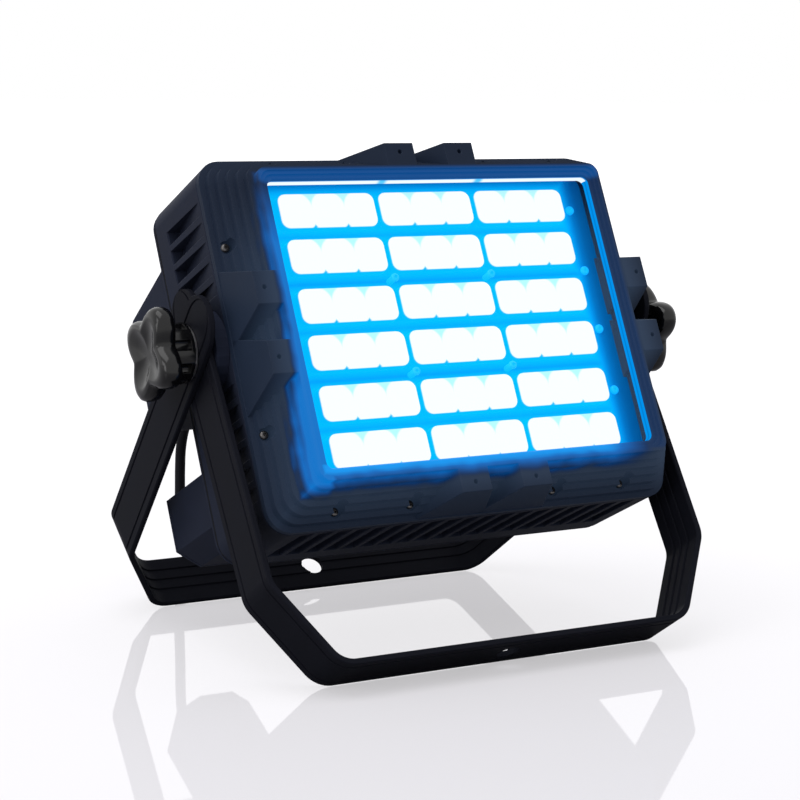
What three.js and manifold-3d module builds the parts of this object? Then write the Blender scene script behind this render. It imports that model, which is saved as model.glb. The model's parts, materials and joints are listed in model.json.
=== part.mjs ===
// LED wash light on two spread yokes. Millimetres, +Z up, the beam side faces -Y.
// The origin is on the floor, under the middle of the stand.
import * as THREE from 'three';
import { mergeVertices } from 'three/addons/utils/BufferGeometryUtils.js';
import Module from 'manifold-3d';

const wasm = await Module();
wasm.setup();

// Fits shared by all pieces
const seatGap = 0.3;
const boltClearance = 0.8;
const overrun = 2;
const weldTolerance = 0.001;

// Head: outside of the casting and the bezel, window, and depths behind the front rim
const headWidth = 316;
const headHeight = 260;
const headCorner = 17;
const insideCorner = 4;
const windowInsetSide = 31.4;
const windowInsetTop = 31.6;
const windowCorner = 9;
const rimStepWidth = 3.2;
const rimStepDepth = 0.9;
const rimStepCount = 3;
const terraceCount = 5;
const slopeDepth = 41.5;
const bezelDepth = 46;
const lipDepth = 10.7;
const windowRebate = 11;
const lugWidth = 22.6;
const lugFlare = 15.5;
const lugReachSide = 18;
const lugReachTop = 16.3;
const lugBackInset = 0.5;
const lugSpacing = 47.6;
const lugHoleDiameter = 3;
const lugHoleDepth = 8;
const lugHoleInset = 6.6;
const screwBoreDiameter = 9;
const screwBoreDepth = 36;
const screwInsetSide = 6.4;
const screwInsetTop = 9.7;
const screwPitchShares = { side: 0.5, top: 0.3584 };

// Optics
const glassThickness = 4;
const gasketThickness = 1.5;
const gasketWidth = 5;
const lensBorderSide = 12;
const lensBorderTop = 1.65;
const columnGap = 2;
const rowGap = 7.5;
const boardGap = 9.9;
const lensScallop = 1.4;
const lensThickness = 7.7;
const lensCrown = 1.6;
const lensBaseDepth = 27;
const lensesPerBlock = 3;
const columnCount = 3;
const boardNames = ['bottom', 'middle', 'top'];
const rowsPerBoard = 2;
const plateThickness = 2;
const plateWindowMargin = 4;
const boardThickness = 1.6;
const boardMarginSide = 5.5;
const boardClearance = 6.2;
const emitterSize = 6;
const emitterHeight = 2;

// Casting with cooling ribs
const castingDepth = 75;
const platformDepth = 34;
const frontWallThickness = 6;
const castingWall = 12.5;
const ribPitch = 14.2;
const ribSlotWidth = 9;
const ribSlotDepth = 9.5;
const ribSlotStart = 49;
const flangeDepth = 18;
const rearGasketThickness = 1.5;

// Rear casing with the drivers, and the two junction boxes below it
const rearPlateThickness = 3;
const casingInset = 2.7;
const casingTopInset = 42;
const casingTopDrop = 16;
const casingDepth = 73.3;
const casingWall = 3;
const casingEdge = 5;
const driverDepth = 42;
const driverWidthShare = 0.56;
const boardSideGap = 11;
const boardMiddleGap = 18;
const boardHeadroom = 1.7;
const logicChipSize = 16;
const logicChipHeight = 6;
const panelSizeShares = [0.29, 0.4];
const panelHeightShare = 0.62;
const panelThickness = 3;
const panelCorner = 5;
const boxWidth = 57;
const boxHeight = 50;
const boxFloorInset = 18;
const boxRoofGap = 50;
const boxChamferAcross = 16;
const boxChamferUp = 12.4;
const boxDepth = 65.3;
const boxWall = 3;
const boxLidThickness = 3;
const ventDiameter = 16;
const ventHeight = 7;
const ventPlaceShares = [0, 0.2];
const socketDiameter = 27;
const socketLength = 17;
const socketFlange = 32;
const socketFlangeThickness = 3;
const socketPlaceShares = { in: [0.48, 0.46], out: [0.76, 0.46] };

// Pivot, tilt and yokes
const pivotBehindRim = 73;
const pivotAboveAxis = 6.3;
const headTilt = THREE.MathUtils.degToRad(26.2);
const bossDiameter = 56;
const bossThickness = 9;
const studDiameter = 10;
const studDepth = 9;
const yokeWidth = 42;
const yokeThickness = 4.2;
const yokeBendRadius = 16;
const yokeEndReach = 24;
const yokeGap = 0.3;
const yokeCornerInset = 36;
const frontYokeCornerRise = 59.6;
const rearYokeCornerRise = 63;
const frontYokeReach = 232.8;
const frontSpread = THREE.MathUtils.degToRad(33);
const rearYokeExtraReach = 14.5;
const grooveInset = 6.5;
const grooveWidth = 1.6;
const grooveDepth = 0.9;
const ridgeGrooveWidth = 3;
const ridgePitch = 9;
const ridgeGrooveCount = 3;
const clampHoleDiameter = 17;
const washerDiameter = 38;
const washerThickness = 1.8;
const knobRadius = 34;
const knobWaist = 22;
const knobLobes = 4;
const knobTurn = THREE.MathUtils.degToRad(68);
const knobThickness = 15;
const knobBevel = 2.5;
const knobBossDiameter = 41;
const knobBossLength = 13;
const knobFlutes = 8;
const knobFluteDiameter = 7;
const knobDishDepth = 3;
const knobDishRadius = 15;

// Mains cord: gland and sleeve on the back of the casing, then a free lead with its coil and plug
const glandPlaceShares = [-0.528, 0.5];
const glandDiameter = 24;
const glandFlangeThickness = 6;
const glandLength = 22;
const glandNeckDiameter = 16;
const sleeveLength = 30;
const sleeveDiameter = 13;
const sleeveTip = 10;
const cordDiameter = 8;
const cordSides = 8;
const cordStep = 18;
const coilPitch = 9.6;
const coilTurnsIn = 2;
const coilTurnsClimbing = 0.5;
const coilTurnsOut = 1.5;
const coilOuterRadius = 52;
const coilLayerRise = 9.2;
const coilStepsPerTurn = 24;
const coilSides = 6;
const coilCentre = [105, 330];
const coilEntryAngle = THREE.MathUtils.degToRad(270);
const tailLength = 44;
const tailSteps = 4;
const plugLength = 44;
const plugDiameter = 29;
const plugCollar = 35;
const plugCollarLength = 11;
const plugNeckLength = 20;
const plugNeckDiameter = 14;

// Sizes worked out from the ones above
const halfHead = [headWidth / 2, headHeight / 2];
const halfWindow = [halfHead[0] - windowInsetSide, halfHead[1] - windowInsetTop];
const halfRim = halfWindow.map((half) => half + rimStepWidth * rimStepCount);
const halfRebate = halfWindow.map((half) => half + windowRebate);
const halfInside = halfHead.map((half) => half - castingWall);
const castingBack = bezelDepth + seatGap + castingDepth;
const rearPlateFront = castingBack + seatGap + rearGasketThickness + seatGap;
const rearPlateBack = rearPlateFront + rearPlateThickness;
const casingBack = rearPlateFront + casingDepth;
const halfCasing = halfHead[0] - casingInset;
const casingTop = halfHead[1] - casingTopInset;
const casingTopBack = casingTop - casingTopDrop;
const boxBottom = boxFloorInset - halfHead[1];
const boxTop = boxBottom + boxHeight;
const casingBottom = boxTop + boxRoofGap;
const yokeInside = headWidth / 2 + seatGap + bossThickness + yokeGap;
const frontYokeHalf = yokeInside + yokeThickness;
const rearYokeHalf = frontYokeHalf + yokeGap + yokeThickness;
const washerStart = rearYokeHalf + seatGap;
const knobStart = washerStart + washerThickness + seatGap;
const knobStarStart = knobStart + knobBossLength;
const knobEnd = knobStarStart + knobThickness;
const pivotHeight = frontYokeReach * Math.cos(frontSpread) + yokeWidth / 2 * Math.sin(frontSpread);
const rearYokeReach = frontYokeReach + rearYokeExtraReach;
const rearFoot = Math.hypot(rearYokeReach, yokeWidth / 2);
const rearSpread = Math.acos(pivotHeight / rearFoot) + Math.atan2(yokeWidth / 2, rearYokeReach);
const frontFootprint = frontYokeReach * Math.sin(frontSpread) + yokeWidth / 2 * Math.cos(frontSpread);
const rearFootprint = rearYokeReach * Math.sin(rearSpread) + yokeWidth / 2 * Math.cos(rearSpread);
const pivotY = (frontFootprint - rearFootprint) / 2;

// Finishes
const finish = (color, roughness, metalness) => new THREE.MeshStandardMaterial({ color, roughness, metalness });
const finishes = {
  castPaint: finish(0x1b1e24, 0.55, 0.3),
  mouldedBlack: finish(0x202329, 0.5, 0),
  yokePaint: finish(0x17181b, 0.42, 0.3),
  knobPlastic: finish(0x0c0c0e, 0.22, 0),
  rubber: finish(0x111214, 0.75, 0),
  steel: finish(0x9aa0a6, 0.35, 1),
  glass: finish(0xcfe9f5, 0.05, 0),
  lens: finish(0xf2fbff, 0.1, 0),
  blueGlow: finish(0x0aa8f0, 0.4, 0),
  boardGreen: finish(0x1f5f3a, 0.6, 0),
  driverCase: finish(0xb9bdc2, 0.4, 0.9),
  cordJacket: finish(0x151519, 0.6, 0),
};

// Solid helpers
function toSolid(geometry) {
  const bare = geometry.clone();
  bare.deleteAttribute('normal');
  bare.deleteAttribute('uv');
  const merged = mergeVertices(bare, weldTolerance);
  return new wasm.Manifold(new wasm.Mesh({
    numProp: 3,
    vertProperties: new Float32Array(merged.attributes.position.array),
    triVerts: new Uint32Array(merged.index.array),
  }));
}

function toGeometry(solid) {
  const mesh = solid.getMesh();
  const geometry = new THREE.BufferGeometry();
  geometry.setAttribute('position', new THREE.BufferAttribute(mesh.vertProperties, 3));
  geometry.setIndex(new THREE.BufferAttribute(mesh.triVerts, 1));
  return geometry;
}

function join(...geometries) {
  return toGeometry(geometries.map(toSolid).reduce((all, next) => all.add(next)));
}

function cut(geometry, cutters) {
  return toGeometry(cutters.map(toSolid).reduce((all, next) => all.subtract(next), toSolid(geometry)));
}

function overlap(first, second) {
  return toGeometry(toSolid(first).intersect(toSolid(second)));
}

// A closed skin over rings of points, all with the same count; each end closes round its middle
function loft(rings) {
  const count = rings[0].length;
  const middleOf = (ring) => ring.reduce((sum, point) => sum.add(point), new THREE.Vector3()).divideScalar(count);
  const points = [...rings.flat(), middleOf(rings[0]), middleOf(rings[rings.length - 1])];
  const firstMiddle = rings.length * count;
  const lastRing = firstMiddle - count;
  const index = [];
  for (let side = 0; side < count; side++) {
    const next = (side + 1) % count;
    for (let ring = 0; ring < lastRing; ring += count) {
      index.push(ring + side, ring + next, ring + next + count);
      index.push(ring + side, ring + next + count, ring + side + count);
    }
    index.push(next, side, firstMiddle);
    index.push(lastRing + side, lastRing + next, firstMiddle + 1);
  }
  return faceOutward(points.flatMap((point) => point.toArray()), index);
}

function faceOutward(positions, index) {
  const corner = (i) => new THREE.Vector3().fromArray(positions, index[i] * 3);
  let volume = 0;
  for (let i = 0; i < index.length; i += 3) {
    volume += corner(i).dot(corner(i + 1).cross(corner(i + 2)));
  }
  const geometry = new THREE.BufferGeometry();
  geometry.setAttribute('position', new THREE.Float32BufferAttribute(positions, 3));
  geometry.setIndex(volume < 0 ? index.reverse() : index);
  return geometry;
}

// Outline of a rectangle with round corners, in X and Z
function roundedOutline([halfX, halfZ], radius, cornerSteps = 3) {
  const points = [];
  const quadrants = [[1, 1], [-1, 1], [-1, -1], [1, -1]];
  quadrants.forEach(([signX, signZ], quadrant) => {
    for (let step = 0; step <= cornerSteps; step++) {
      const angle = (quadrant + step / cornerSteps) * Math.PI / 2;
      points.push(new THREE.Vector2(
        signX * (halfX - radius) + radius * Math.cos(angle),
        signZ * (halfZ - radius) + radius * Math.sin(angle),
      ));
    }
  });
  return points;
}

const ringAt = (outline, y) => outline.map((point) => new THREE.Vector3(point.x, y, point.y));

function prism(outline, front, back) {
  return loft([ringAt(outline, front), ringAt(outline, back)]);
}

function box(x, y, z) {
  const geometry = new THREE.BoxGeometry(x[1] - x[0], y[1] - y[0], z[1] - z[0]);
  return geometry.translate((x[0] + x[1]) / 2, (y[0] + y[1]) / 2, (z[0] + z[1]) / 2);
}

// A turned piece: a profile of [radius, place along the axis], turned about Y or X
function turnedY(profile, sides) {
  const points = profile.map(([radius, along]) => new THREE.Vector2(radius, along));
  return new THREE.LatheGeometry(points, sides);
}

function turnedX(profile, sides) {
  return turnedY(profile, sides).rotateZ(-Math.PI / 2);
}

function rod(diameter, start, end, sides) {
  return turnedY([[0, start], [diameter / 2, start], [diameter / 2, end], [0, end]], sides);
}

function rodX(diameter, start, end, sides) {
  return rod(diameter, start, end, sides).rotateZ(-Math.PI / 2);
}

function tube(outer, inner, start, end, sides) {
  return turnedX([
    [inner / 2, start], [outer / 2, start], [outer / 2, end], [inner / 2, end], [inner / 2, start],
  ], sides);
}

function frameOf(outline, opening, front, back) {
  const solid = prism(outline, front, back);
  return cut(solid, [prism(opening, front - overrun, back + overrun)]);
}

function named(name, geometry, material) {
  const mesh = new THREE.Mesh(geometry, material);
  mesh.name = name;
  return mesh;
}

// Places that the bezel screws use, as [x, z] on the head
function screwPlaces() {
  const sideX = halfHead[0] - screwInsetSide;
  const topZ = halfHead[1] - screwInsetTop;
  const pitchSide = halfHead[1] * screwPitchShares.side;
  const pitchTop = halfHead[0] * screwPitchShares.top;
  const places = [];
  for (const sign of [-1, 1]) {
    for (const row of [-1, 0, 1]) {
      places.push([sign * sideX, row * pitchSide]);
    }
    for (const column of [-2, -1, 1, 2]) {
      places.push([column * pitchTop, sign * topZ]);
    }
  }
  return places;
}

// Lugs beyond the rim: on the sides (axis 0) and on top and below (axis 1)
const lugOuter = [halfRim[0] + lugReachSide, halfRim[1] + lugReachTop];

// One accessory lug on the top side, flared towards its root
function lug(axis, across) {
  const ring = (half, outer, y) => [[-half, halfRim[axis]], [half, halfRim[axis]], [half, outer], [-half, outer]]
    .map(([x, z]) => new THREE.Vector3(across + x, y, z));
  return loft([
    ring(lugWidth / 2, lugOuter[axis], 0),
    ring(lugWidth / 2 + lugFlare, halfHead[axis] - lugBackInset, slopeDepth),
  ]);
}

function lugHole(axis, across) {
  return rod(lugHoleDiameter, -overrun, lugHoleDepth, 8).translate(across, 0, lugOuter[axis] - lugHoleInset);
}

// Two lugs on each side of the window, turned a quarter at a time
function onFourSides(make) {
  const pieces = [];
  for (let quarter = 0; quarter < 4; quarter++) {
    for (const side of [-1, 1]) {
      pieces.push(make((quarter + 1) % 2, side * lugSpacing / 2).rotateY(quarter * Math.PI / 2));
    }
  }
  return pieces;
}

function bezel() {
  const rings = [];
  const ring = (halves, radius, y) => rings.push(ringAt(roundedOutline(halves, radius), y));
  for (let step = 0; step <= terraceCount; step++) {
    const share = step / terraceCount;
    const halves = halfRim.map((half, axis) => half + (halfHead[axis] - half) * share);
    const radius = windowCorner + rimStepWidth + (headCorner - windowCorner - rimStepWidth) * share;
    const treadDepth = slopeDepth * share;
    if (step > 0) {
      ring(halves, radius, slopeDepth * (step - 1) / terraceCount);
    }
    ring(halves, radius, step < terraceCount ? treadDepth : bezelDepth);
  }
  const skin = join(loft(rings), ...onFourSides(lug));
  const rimCuts = [];
  for (let step = 0; step < rimStepCount; step++) {
    const grow = rimStepWidth * (rimStepCount - 1 - step);
    const depth = rimStepDepth * (step + 1);
    const halves = halfWindow.map((half) => half + grow);
    rimCuts.push(prism(roundedOutline(halves, windowCorner + grow), -overrun, depth));
  }
  const opening = prism(roundedOutline(halfWindow, windowCorner), -overrun, bezelDepth + overrun);
  const rebate = prism(roundedOutline(halfRebate, windowCorner), lipDepth, bezelDepth + overrun);
  const bores = screwPlaces().map(([x, z]) => (
    rod(screwBoreDiameter, -overrun, screwBoreDepth, 10).translate(x, 0, z)));
  return cut(skin, [...rimCuts, opening, rebate, ...bores, ...onFourSides(lugHole)]);
}

// Optics: gasket and glass behind the lip, the lens plate, the blocks of three lenses, the boards
const glassFront = lipDepth + seatGap + gasketThickness + seatGap;
const halfGlass = halfRebate.map((half) => half - seatGap);
const plateFront = lensBaseDepth + seatGap;
const boardCount = boardNames.length;
const lensRoom = 2 * (halfWindow[0] - lensBorderSide) - (columnCount - 1) * columnGap;
const lensPitch = lensRoom / (columnCount * lensesPerBlock);
const blockWidth = lensPitch * lensesPerBlock;
const columnPitch = blockWidth + columnGap;
const gapsBetweenRows = boardCount * (rowsPerBoard - 1) * rowGap + (boardCount - 1) * boardGap;
const lensHeight = (2 * (halfWindow[1] - lensBorderTop) - gapsBetweenRows) / (boardCount * rowsPerBoard);
const rowPitch = lensHeight + rowGap;
const boardPitch = rowPitch * (rowsPerBoard - 1) + lensHeight + boardGap;

function gasket() {
  const outline = roundedOutline(halfGlass, windowCorner);
  const opening = roundedOutline(halfGlass.map((half) => half - gasketWidth), windowCorner);
  return frameOf(outline, opening, lipDepth + seatGap, lipDepth + seatGap + gasketThickness);
}

const blockPlaces = [];
boardNames.forEach((board, boardIndex) => {
  for (let row = 0; row < rowsPerBoard; row++) {
    for (let column = 0; column < columnCount; column++) {
      blockPlaces.push({
        board,
        name: `lens_block_${board}_${row + 1}_${column + 1}`,
        x: (column - (columnCount - 1) / 2) * columnPitch,
        z: (boardIndex - (boardCount - 1) / 2) * boardPitch + (row - (rowsPerBoard - 1) / 2) * rowPitch,
      });
    }
  }
});

// Three round lenses in one moulding: the long edges swell over each lens
function blockOutline(shrink) {
  const points = [];
  const stepsPerLens = 4;
  const steps = lensesPerBlock * stepsPerLens;
  const half = lensHeight / 2 - shrink;
  const length = blockWidth - 2 * shrink;
  for (const side of [1, -1]) {
    for (let step = 0; step <= steps; step++) {
      const along = step / steps;
      const swell = Math.abs(Math.sin(along * lensesPerBlock * Math.PI));
      const end = step === 0 || step === steps ? lensHeight / 3 : 0;
      points.push(new THREE.Vector2(side * length * (1 / 2 - along), side * (half - lensScallop * (1 - swell) - end)));
    }
  }
  return points;
}

function lensBlock() {
  const back = lensBaseDepth;
  const front = lensBaseDepth - lensThickness;
  return loft([
    ringAt(blockOutline(lensCrown), front),
    ringAt(blockOutline(0), front + lensCrown),
    ringAt(blockOutline(0), back),
  ]);
}

function lensPlate() {
  const openings = blockPlaces.map(({ x, z }) => box(
    [x - blockWidth / 2 + plateWindowMargin, x + blockWidth / 2 - plateWindowMargin],
    [plateFront - overrun, plateFront + plateThickness + overrun],
    [z - lensHeight / 2 + plateWindowMargin, z + lensHeight / 2 - plateWindowMargin],
  ));
  return cut(prism(roundedOutline(halfGlass, windowCorner), plateFront, plateFront + plateThickness), openings);
}

const boardBack = platformDepth - seatGap;
const boardFront = boardBack - boardThickness;

function ledBoard(board, z) {
  const halfX = halfWindow[0] - lensBorderSide + boardMarginSide;
  const halfZ = (boardPitch - boardClearance) / 2;
  const base = box([-halfX, halfX], [boardFront, boardBack], [z - halfZ, z + halfZ]);
  const emitters = [];
  for (const place of blockPlaces.filter((block) => block.board === board)) {
    for (let lens = 0; lens < lensesPerBlock; lens++) {
      const x = place.x + (lens - (lensesPerBlock - 1) / 2) * lensPitch;
      emitters.push(box(
        [x - emitterSize / 2, x + emitterSize / 2],
        [boardFront - emitterHeight, boardBack],
        [place.z - emitterSize / 2, place.z + emitterSize / 2],
      ));
    }
  }
  return join(base, ...emitters);
}

// Casting: walls with wedge slots between the cooling ribs, a front wall and its platform
function ribSlots() {
  const slots = [];
  const slotEnd = castingBack - flangeDepth;
  const wedge = (across) => {
    const half = ribSlotWidth / 2;
    const ring = (x) => [
      new THREE.Vector3(x, ribSlotStart, 0),
      new THREE.Vector3(x, slotEnd, -ribSlotDepth),
      new THREE.Vector3(x, slotEnd, overrun),
      new THREE.Vector3(x, ribSlotStart, overrun),
    ];
    return loft([ring(across - half), ring(across + half)]);
  };
  for (let quarter = 0; quarter < 4; quarter++) {
    const onSide = quarter % 2 === 1;
    const along = onSide ? halfHead[1] : halfHead[0];
    const out = onSide ? halfHead[0] : halfHead[1];
    const count = Math.floor((along - headCorner - ribSlotWidth) / ribPitch);
    for (let index = -count; index <= count; index++) {
      const place = index * ribPitch;
      const turned = quarter === 1 ? -place : place;
      const nearPivot = onSide && Math.abs(turned - pivotAboveAxis) < bossDiameter / 2 + ribSlotWidth / 2;
      if (!nearPivot) {
        slots.push(wedge(place).translate(0, 0, out).rotateY(quarter * Math.PI / 2));
      }
    }
  }
  return slots;
}

function studHoles() {
  return [-1, 1].map((side) => rodX(
    studDiameter + boltClearance,
    side > 0 ? halfHead[0] - studDepth : -halfHead[0] - overrun,
    side > 0 ? halfHead[0] + overrun : -halfHead[0] + studDepth,
    12,
  ).translate(0, pivotBehindRim, pivotAboveAxis));
}

function casting() {
  const front = bezelDepth + seatGap;
  const outside = prism(roundedOutline(halfHead, headCorner), front, castingBack);
  const halfPlatform = halfRebate.map((half) => half - seatGap);
  const platform = prism(roundedOutline(halfPlatform, windowCorner), platformDepth, front + overrun);
  const inside = prism(roundedOutline(halfInside, insideCorner), front + frontWallThickness, castingBack + overrun);
  return cut(join(outside, platform), [inside, ...ribSlots(), ...studHoles()]);
}

function rearGasket() {
  const outline = roundedOutline(halfHead.map((half) => half - seatGap), headCorner);
  const front = castingBack + seatGap;
  return frameOf(outline, roundedOutline(halfInside, insideCorner), front, front + rearGasketThickness);
}

// Rear casing: a flange plate and the driver housing, one hollow moulding open to the front
function casingSection(shrink, front) {
  return [
    [front, casingTop - shrink],
    [casingBack - casingEdge - shrink, casingTopBack + (casingTop - casingTopBack) * casingEdge / casingDepth - shrink],
    [casingBack - shrink, casingTopBack - casingEdge - shrink],
    [casingBack - shrink, casingBottom + casingEdge + shrink],
    [casingBack - casingEdge - shrink, casingBottom + shrink],
    [front, casingBottom + shrink],
  ];
}

function casingBody(shrink, front) {
  const halfX = halfCasing - shrink;
  const ring = (x) => casingSection(shrink, front).map(([y, z]) => new THREE.Vector3(x, y, z));
  return loft([ring(-halfX), ring(halfX)]);
}

function rearCasing() {
  const plate = prism(roundedOutline(halfHead.map((half) => half - seatGap), headCorner), rearPlateFront, rearPlateBack);
  const hollow = casingBody(casingWall, rearPlateFront - overrun);
  return cut(join(plate, casingBody(0, rearPlateFront)), [hollow]);
}

const casingInside = casingBack - casingWall - seatGap;
const casingFloor = casingBottom + casingWall + casingEdge + seatGap;
const casingCeiling = casingTopBack - casingWall - casingEdge - boardHeadroom;
const boardEdge = halfCasing - casingWall - boardSideGap;
const driverWidth = (2 * boardEdge - boardMiddleGap) * driverWidthShare;

function driver() {
  return box(
    [boardEdge - driverWidth, boardEdge], [casingInside - driverDepth, casingInside], [casingFloor, casingCeiling],
  );
}

function logicBoard() {
  const width = 2 * boardEdge - boardMiddleGap - driverWidth;
  const middleZ = (casingFloor + casingCeiling) / 2;
  const board = box(
    [-boardEdge, width - boardEdge], [casingInside - boardThickness, casingInside], [casingFloor, casingCeiling],
  );
  const chips = [-1, 0, 1].map((place) => {
    const middle = width / 2 - boardEdge + place * width / 3;
    return box(
      [middle - logicChipSize / 2, middle + logicChipSize / 2],
      [casingInside - boardThickness - logicChipHeight, casingInside],
      [middleZ - logicChipSize / 2, middleZ + logicChipSize / 2],
    );
  });
  return join(board, ...chips);
}

// A junction box, chamfered along its lower edges and open at the back under its lid
function boxOutline(shrink) {
  const half = boxWidth / 2 - shrink;
  const low = boxBottom + shrink;
  return [
    new THREE.Vector2(half, boxTop - shrink),
    new THREE.Vector2(-half, boxTop - shrink),
    new THREE.Vector2(-half, low + boxChamferUp),
    new THREE.Vector2(-half + boxChamferAcross, low),
    new THREE.Vector2(half - boxChamferAcross, low),
    new THREE.Vector2(half, low + boxChamferUp),
  ];
}

function junctionBox() {
  const front = rearPlateBack + seatGap;
  const back = front + boxDepth;
  const hollow = prism(boxOutline(boxWall), front + boxWall, back + overrun);
  return cut(prism(boxOutline(0), front, back), [hollow]);
}

function junctionLid() {
  const front = rearPlateBack + seatGap + boxDepth + seatGap;
  return prism(boxOutline(0), front, front + boxLidThickness);
}

// What stands on the back of the casing
const backSeat = casingBack + seatGap;
const backHeight = casingTopBack - casingBottom;
const onBack = ([shareX, shareZ]) => [halfCasing * shareX, casingBottom + backHeight * shareZ];
const glandPlace = onBack(glandPlaceShares);

function controlPanel() {
  const halfPanel = [halfCasing * panelSizeShares[0], backHeight * panelSizeShares[1] / 2];
  const lift = casingBottom + backHeight * panelHeightShare;
  return prism(roundedOutline(halfPanel, panelCorner), backSeat, backSeat + panelThickness).translate(0, 0, lift);
}

function ventPlug() {
  return rod(ventDiameter, backSeat, backSeat + ventHeight, 6);
}

function dataSocket() {
  const flangeEnd = backSeat + socketFlangeThickness;
  const end = flangeEnd + socketLength;
  return turnedY([
    [0, backSeat], [socketFlange / 2, backSeat], [socketFlange / 2, flangeEnd],
    [socketDiameter / 2, flangeEnd], [socketDiameter / 2, end], [0, end],
  ], 16);
}

const glandEnd = backSeat + glandFlangeThickness + glandLength;
const sleeveEnd = glandEnd + seatGap + sleeveLength;

function gland() {
  const flangeEnd = backSeat + glandFlangeThickness;
  return turnedY([
    [0, backSeat], [glandDiameter / 2, backSeat], [glandDiameter / 2, flangeEnd],
    [glandNeckDiameter / 2, flangeEnd], [glandNeckDiameter / 2, glandEnd], [0, glandEnd],
  ], 12);
}

function sleeve() {
  const start = glandEnd + seatGap;
  return turnedY([[0, start], [sleeveDiameter / 2, start], [sleeveTip / 2, sleeveEnd], [0, sleeveEnd]], 12);
}

// Yokes: a flat strip bent to a U. Local Y runs up the arms, Z across the strip.
function yokeCorners(half, reach, cornerRise) {
  const inset = half - yokeCornerInset;
  const shoulder = -(reach - cornerRise);
  const top = yokeEndReach + yokeWidth / 2 + overrun;
  return [[-half, top], [-half, shoulder], [-inset, -reach], [inset, -reach], [half, shoulder], [half, top]]
    .map(([x, y]) => new THREE.Vector2(x, y));
}

// The outer face of the strip moved inwards by depth, with concentric arcs at the bends
function stripPath(corners, depth, bendSteps = 4) {
  const inward = (from, to) => {
    const along = to.clone().sub(from).normalize();
    return new THREE.Vector2(-along.y, along.x);
  };
  const points = [];
  const bend = yokeBendRadius + yokeThickness;
  corners.forEach((corner, index) => {
    const before = index > 0 ? inward(corners[index - 1], corner) : null;
    const after = index + 1 < corners.length ? inward(corner, corners[index + 1]) : null;
    if (!before || !after) {
      points.push(corner.clone().addScaledVector(before || after, depth));
      return;
    }
    const middle = before.clone().add(after).normalize();
    const centre = corner.clone().addScaledVector(middle, bend / middle.dot(before));
    const turn = Math.acos(THREE.MathUtils.clamp(before.dot(after), -1, 1));
    for (let step = 0; step <= bendSteps; step++) {
      const normal = before.clone().rotateAround(new THREE.Vector2(), turn * step / bendSteps);
      points.push(centre.clone().addScaledVector(normal, depth - bend));
    }
  });
  return points;
}

function strip(corners, depths, across) {
  const outline = [...stripPath(corners, depths[0]), ...stripPath(corners, depths[1]).reverse()];
  const shape = new THREE.Shape(outline);
  const depth = across[1] - across[0];
  return new THREE.ExtrudeGeometry(shape, { depth, bevelEnabled: false }).translate(0, 0, across[0]);
}

function yoke(half, reach, cornerRise) {
  const corners = yokeCorners(half, reach, cornerRise);
  const blank = strip(corners, [0, yokeThickness], [-yokeWidth / 2, yokeWidth / 2]);
  const side = new THREE.Shape();
  side.moveTo(-yokeWidth / 2 - overrun, -reach - overrun);
  side.lineTo(yokeWidth / 2 + overrun, -reach - overrun);
  side.lineTo(yokeWidth / 2 + overrun, 0);
  side.lineTo(yokeWidth / 2, yokeEndReach);
  side.absarc(0, yokeEndReach, yokeWidth / 2, 0, Math.PI);
  side.lineTo(-yokeWidth / 2 - overrun, 0);
  const width = 2 * (half + overrun);
  const profile = new THREE.ExtrudeGeometry(side, { depth: width, bevelEnabled: false, curveSegments: 14 })
    .translate(0, 0, -width / 2)
    .rotateY(Math.PI / 2);
  const cuts = [];
  for (const sign of [-1, 1]) {
    const middle = sign * (yokeWidth / 2 - grooveInset);
    const across = [middle - grooveWidth / 2, middle + grooveWidth / 2];
    cuts.push(strip(corners, [-overrun, grooveDepth], across));
  }
  for (let index = 0; index < ridgeGrooveCount; index++) {
    const middle = (index - (ridgeGrooveCount - 1) / 2) * ridgePitch;
    const across = [middle - ridgeGrooveWidth / 2, middle + ridgeGrooveWidth / 2];
    cuts.push(strip(corners, [yokeThickness - grooveDepth, yokeThickness + overrun], across));
  }
  cuts.push(rodX(studDiameter + boltClearance, -half - overrun, half + overrun, 16));
  cuts.push(rod(clampHoleDiameter, -reach - overrun, -reach + yokeThickness + overrun, 20));
  return cut(overlap(blank, profile), cuts);
}

// Pivot hardware, made for the right side; turned half round for the left
const pivotPieces = {
  pivot_boss: [
    () => tube(bossDiameter, studDiameter + boltClearance, halfHead[0] + seatGap, yokeInside - yokeGap, 28),
    finishes.castPaint,
  ],
  pivot_stud: [
    () => rodX(studDiameter, halfHead[0] - studDepth + seatGap, knobStarStart, 12),
    finishes.steel,
  ],
};

function washer() {
  return tube(washerDiameter, studDiameter + boltClearance, washerStart, washerStart + washerThickness, 24);
}

// Star knob: four rounded lobes on a fluted boss, dished on the outside
function knobOutline(shrink) {
  const points = [];
  const steps = knobLobes * 10;
  for (let step = 0; step < steps; step++) {
    const angle = step / steps * 2 * Math.PI;
    const lobeShare = (1 + Math.cos(knobLobes * (angle - knobTurn))) / 2;
    const radius = knobWaist + (knobRadius - knobWaist) * lobeShare - shrink;
    points.push(new THREE.Vector2(radius * Math.cos(angle), radius * Math.sin(angle)));
  }
  return points;
}

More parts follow.
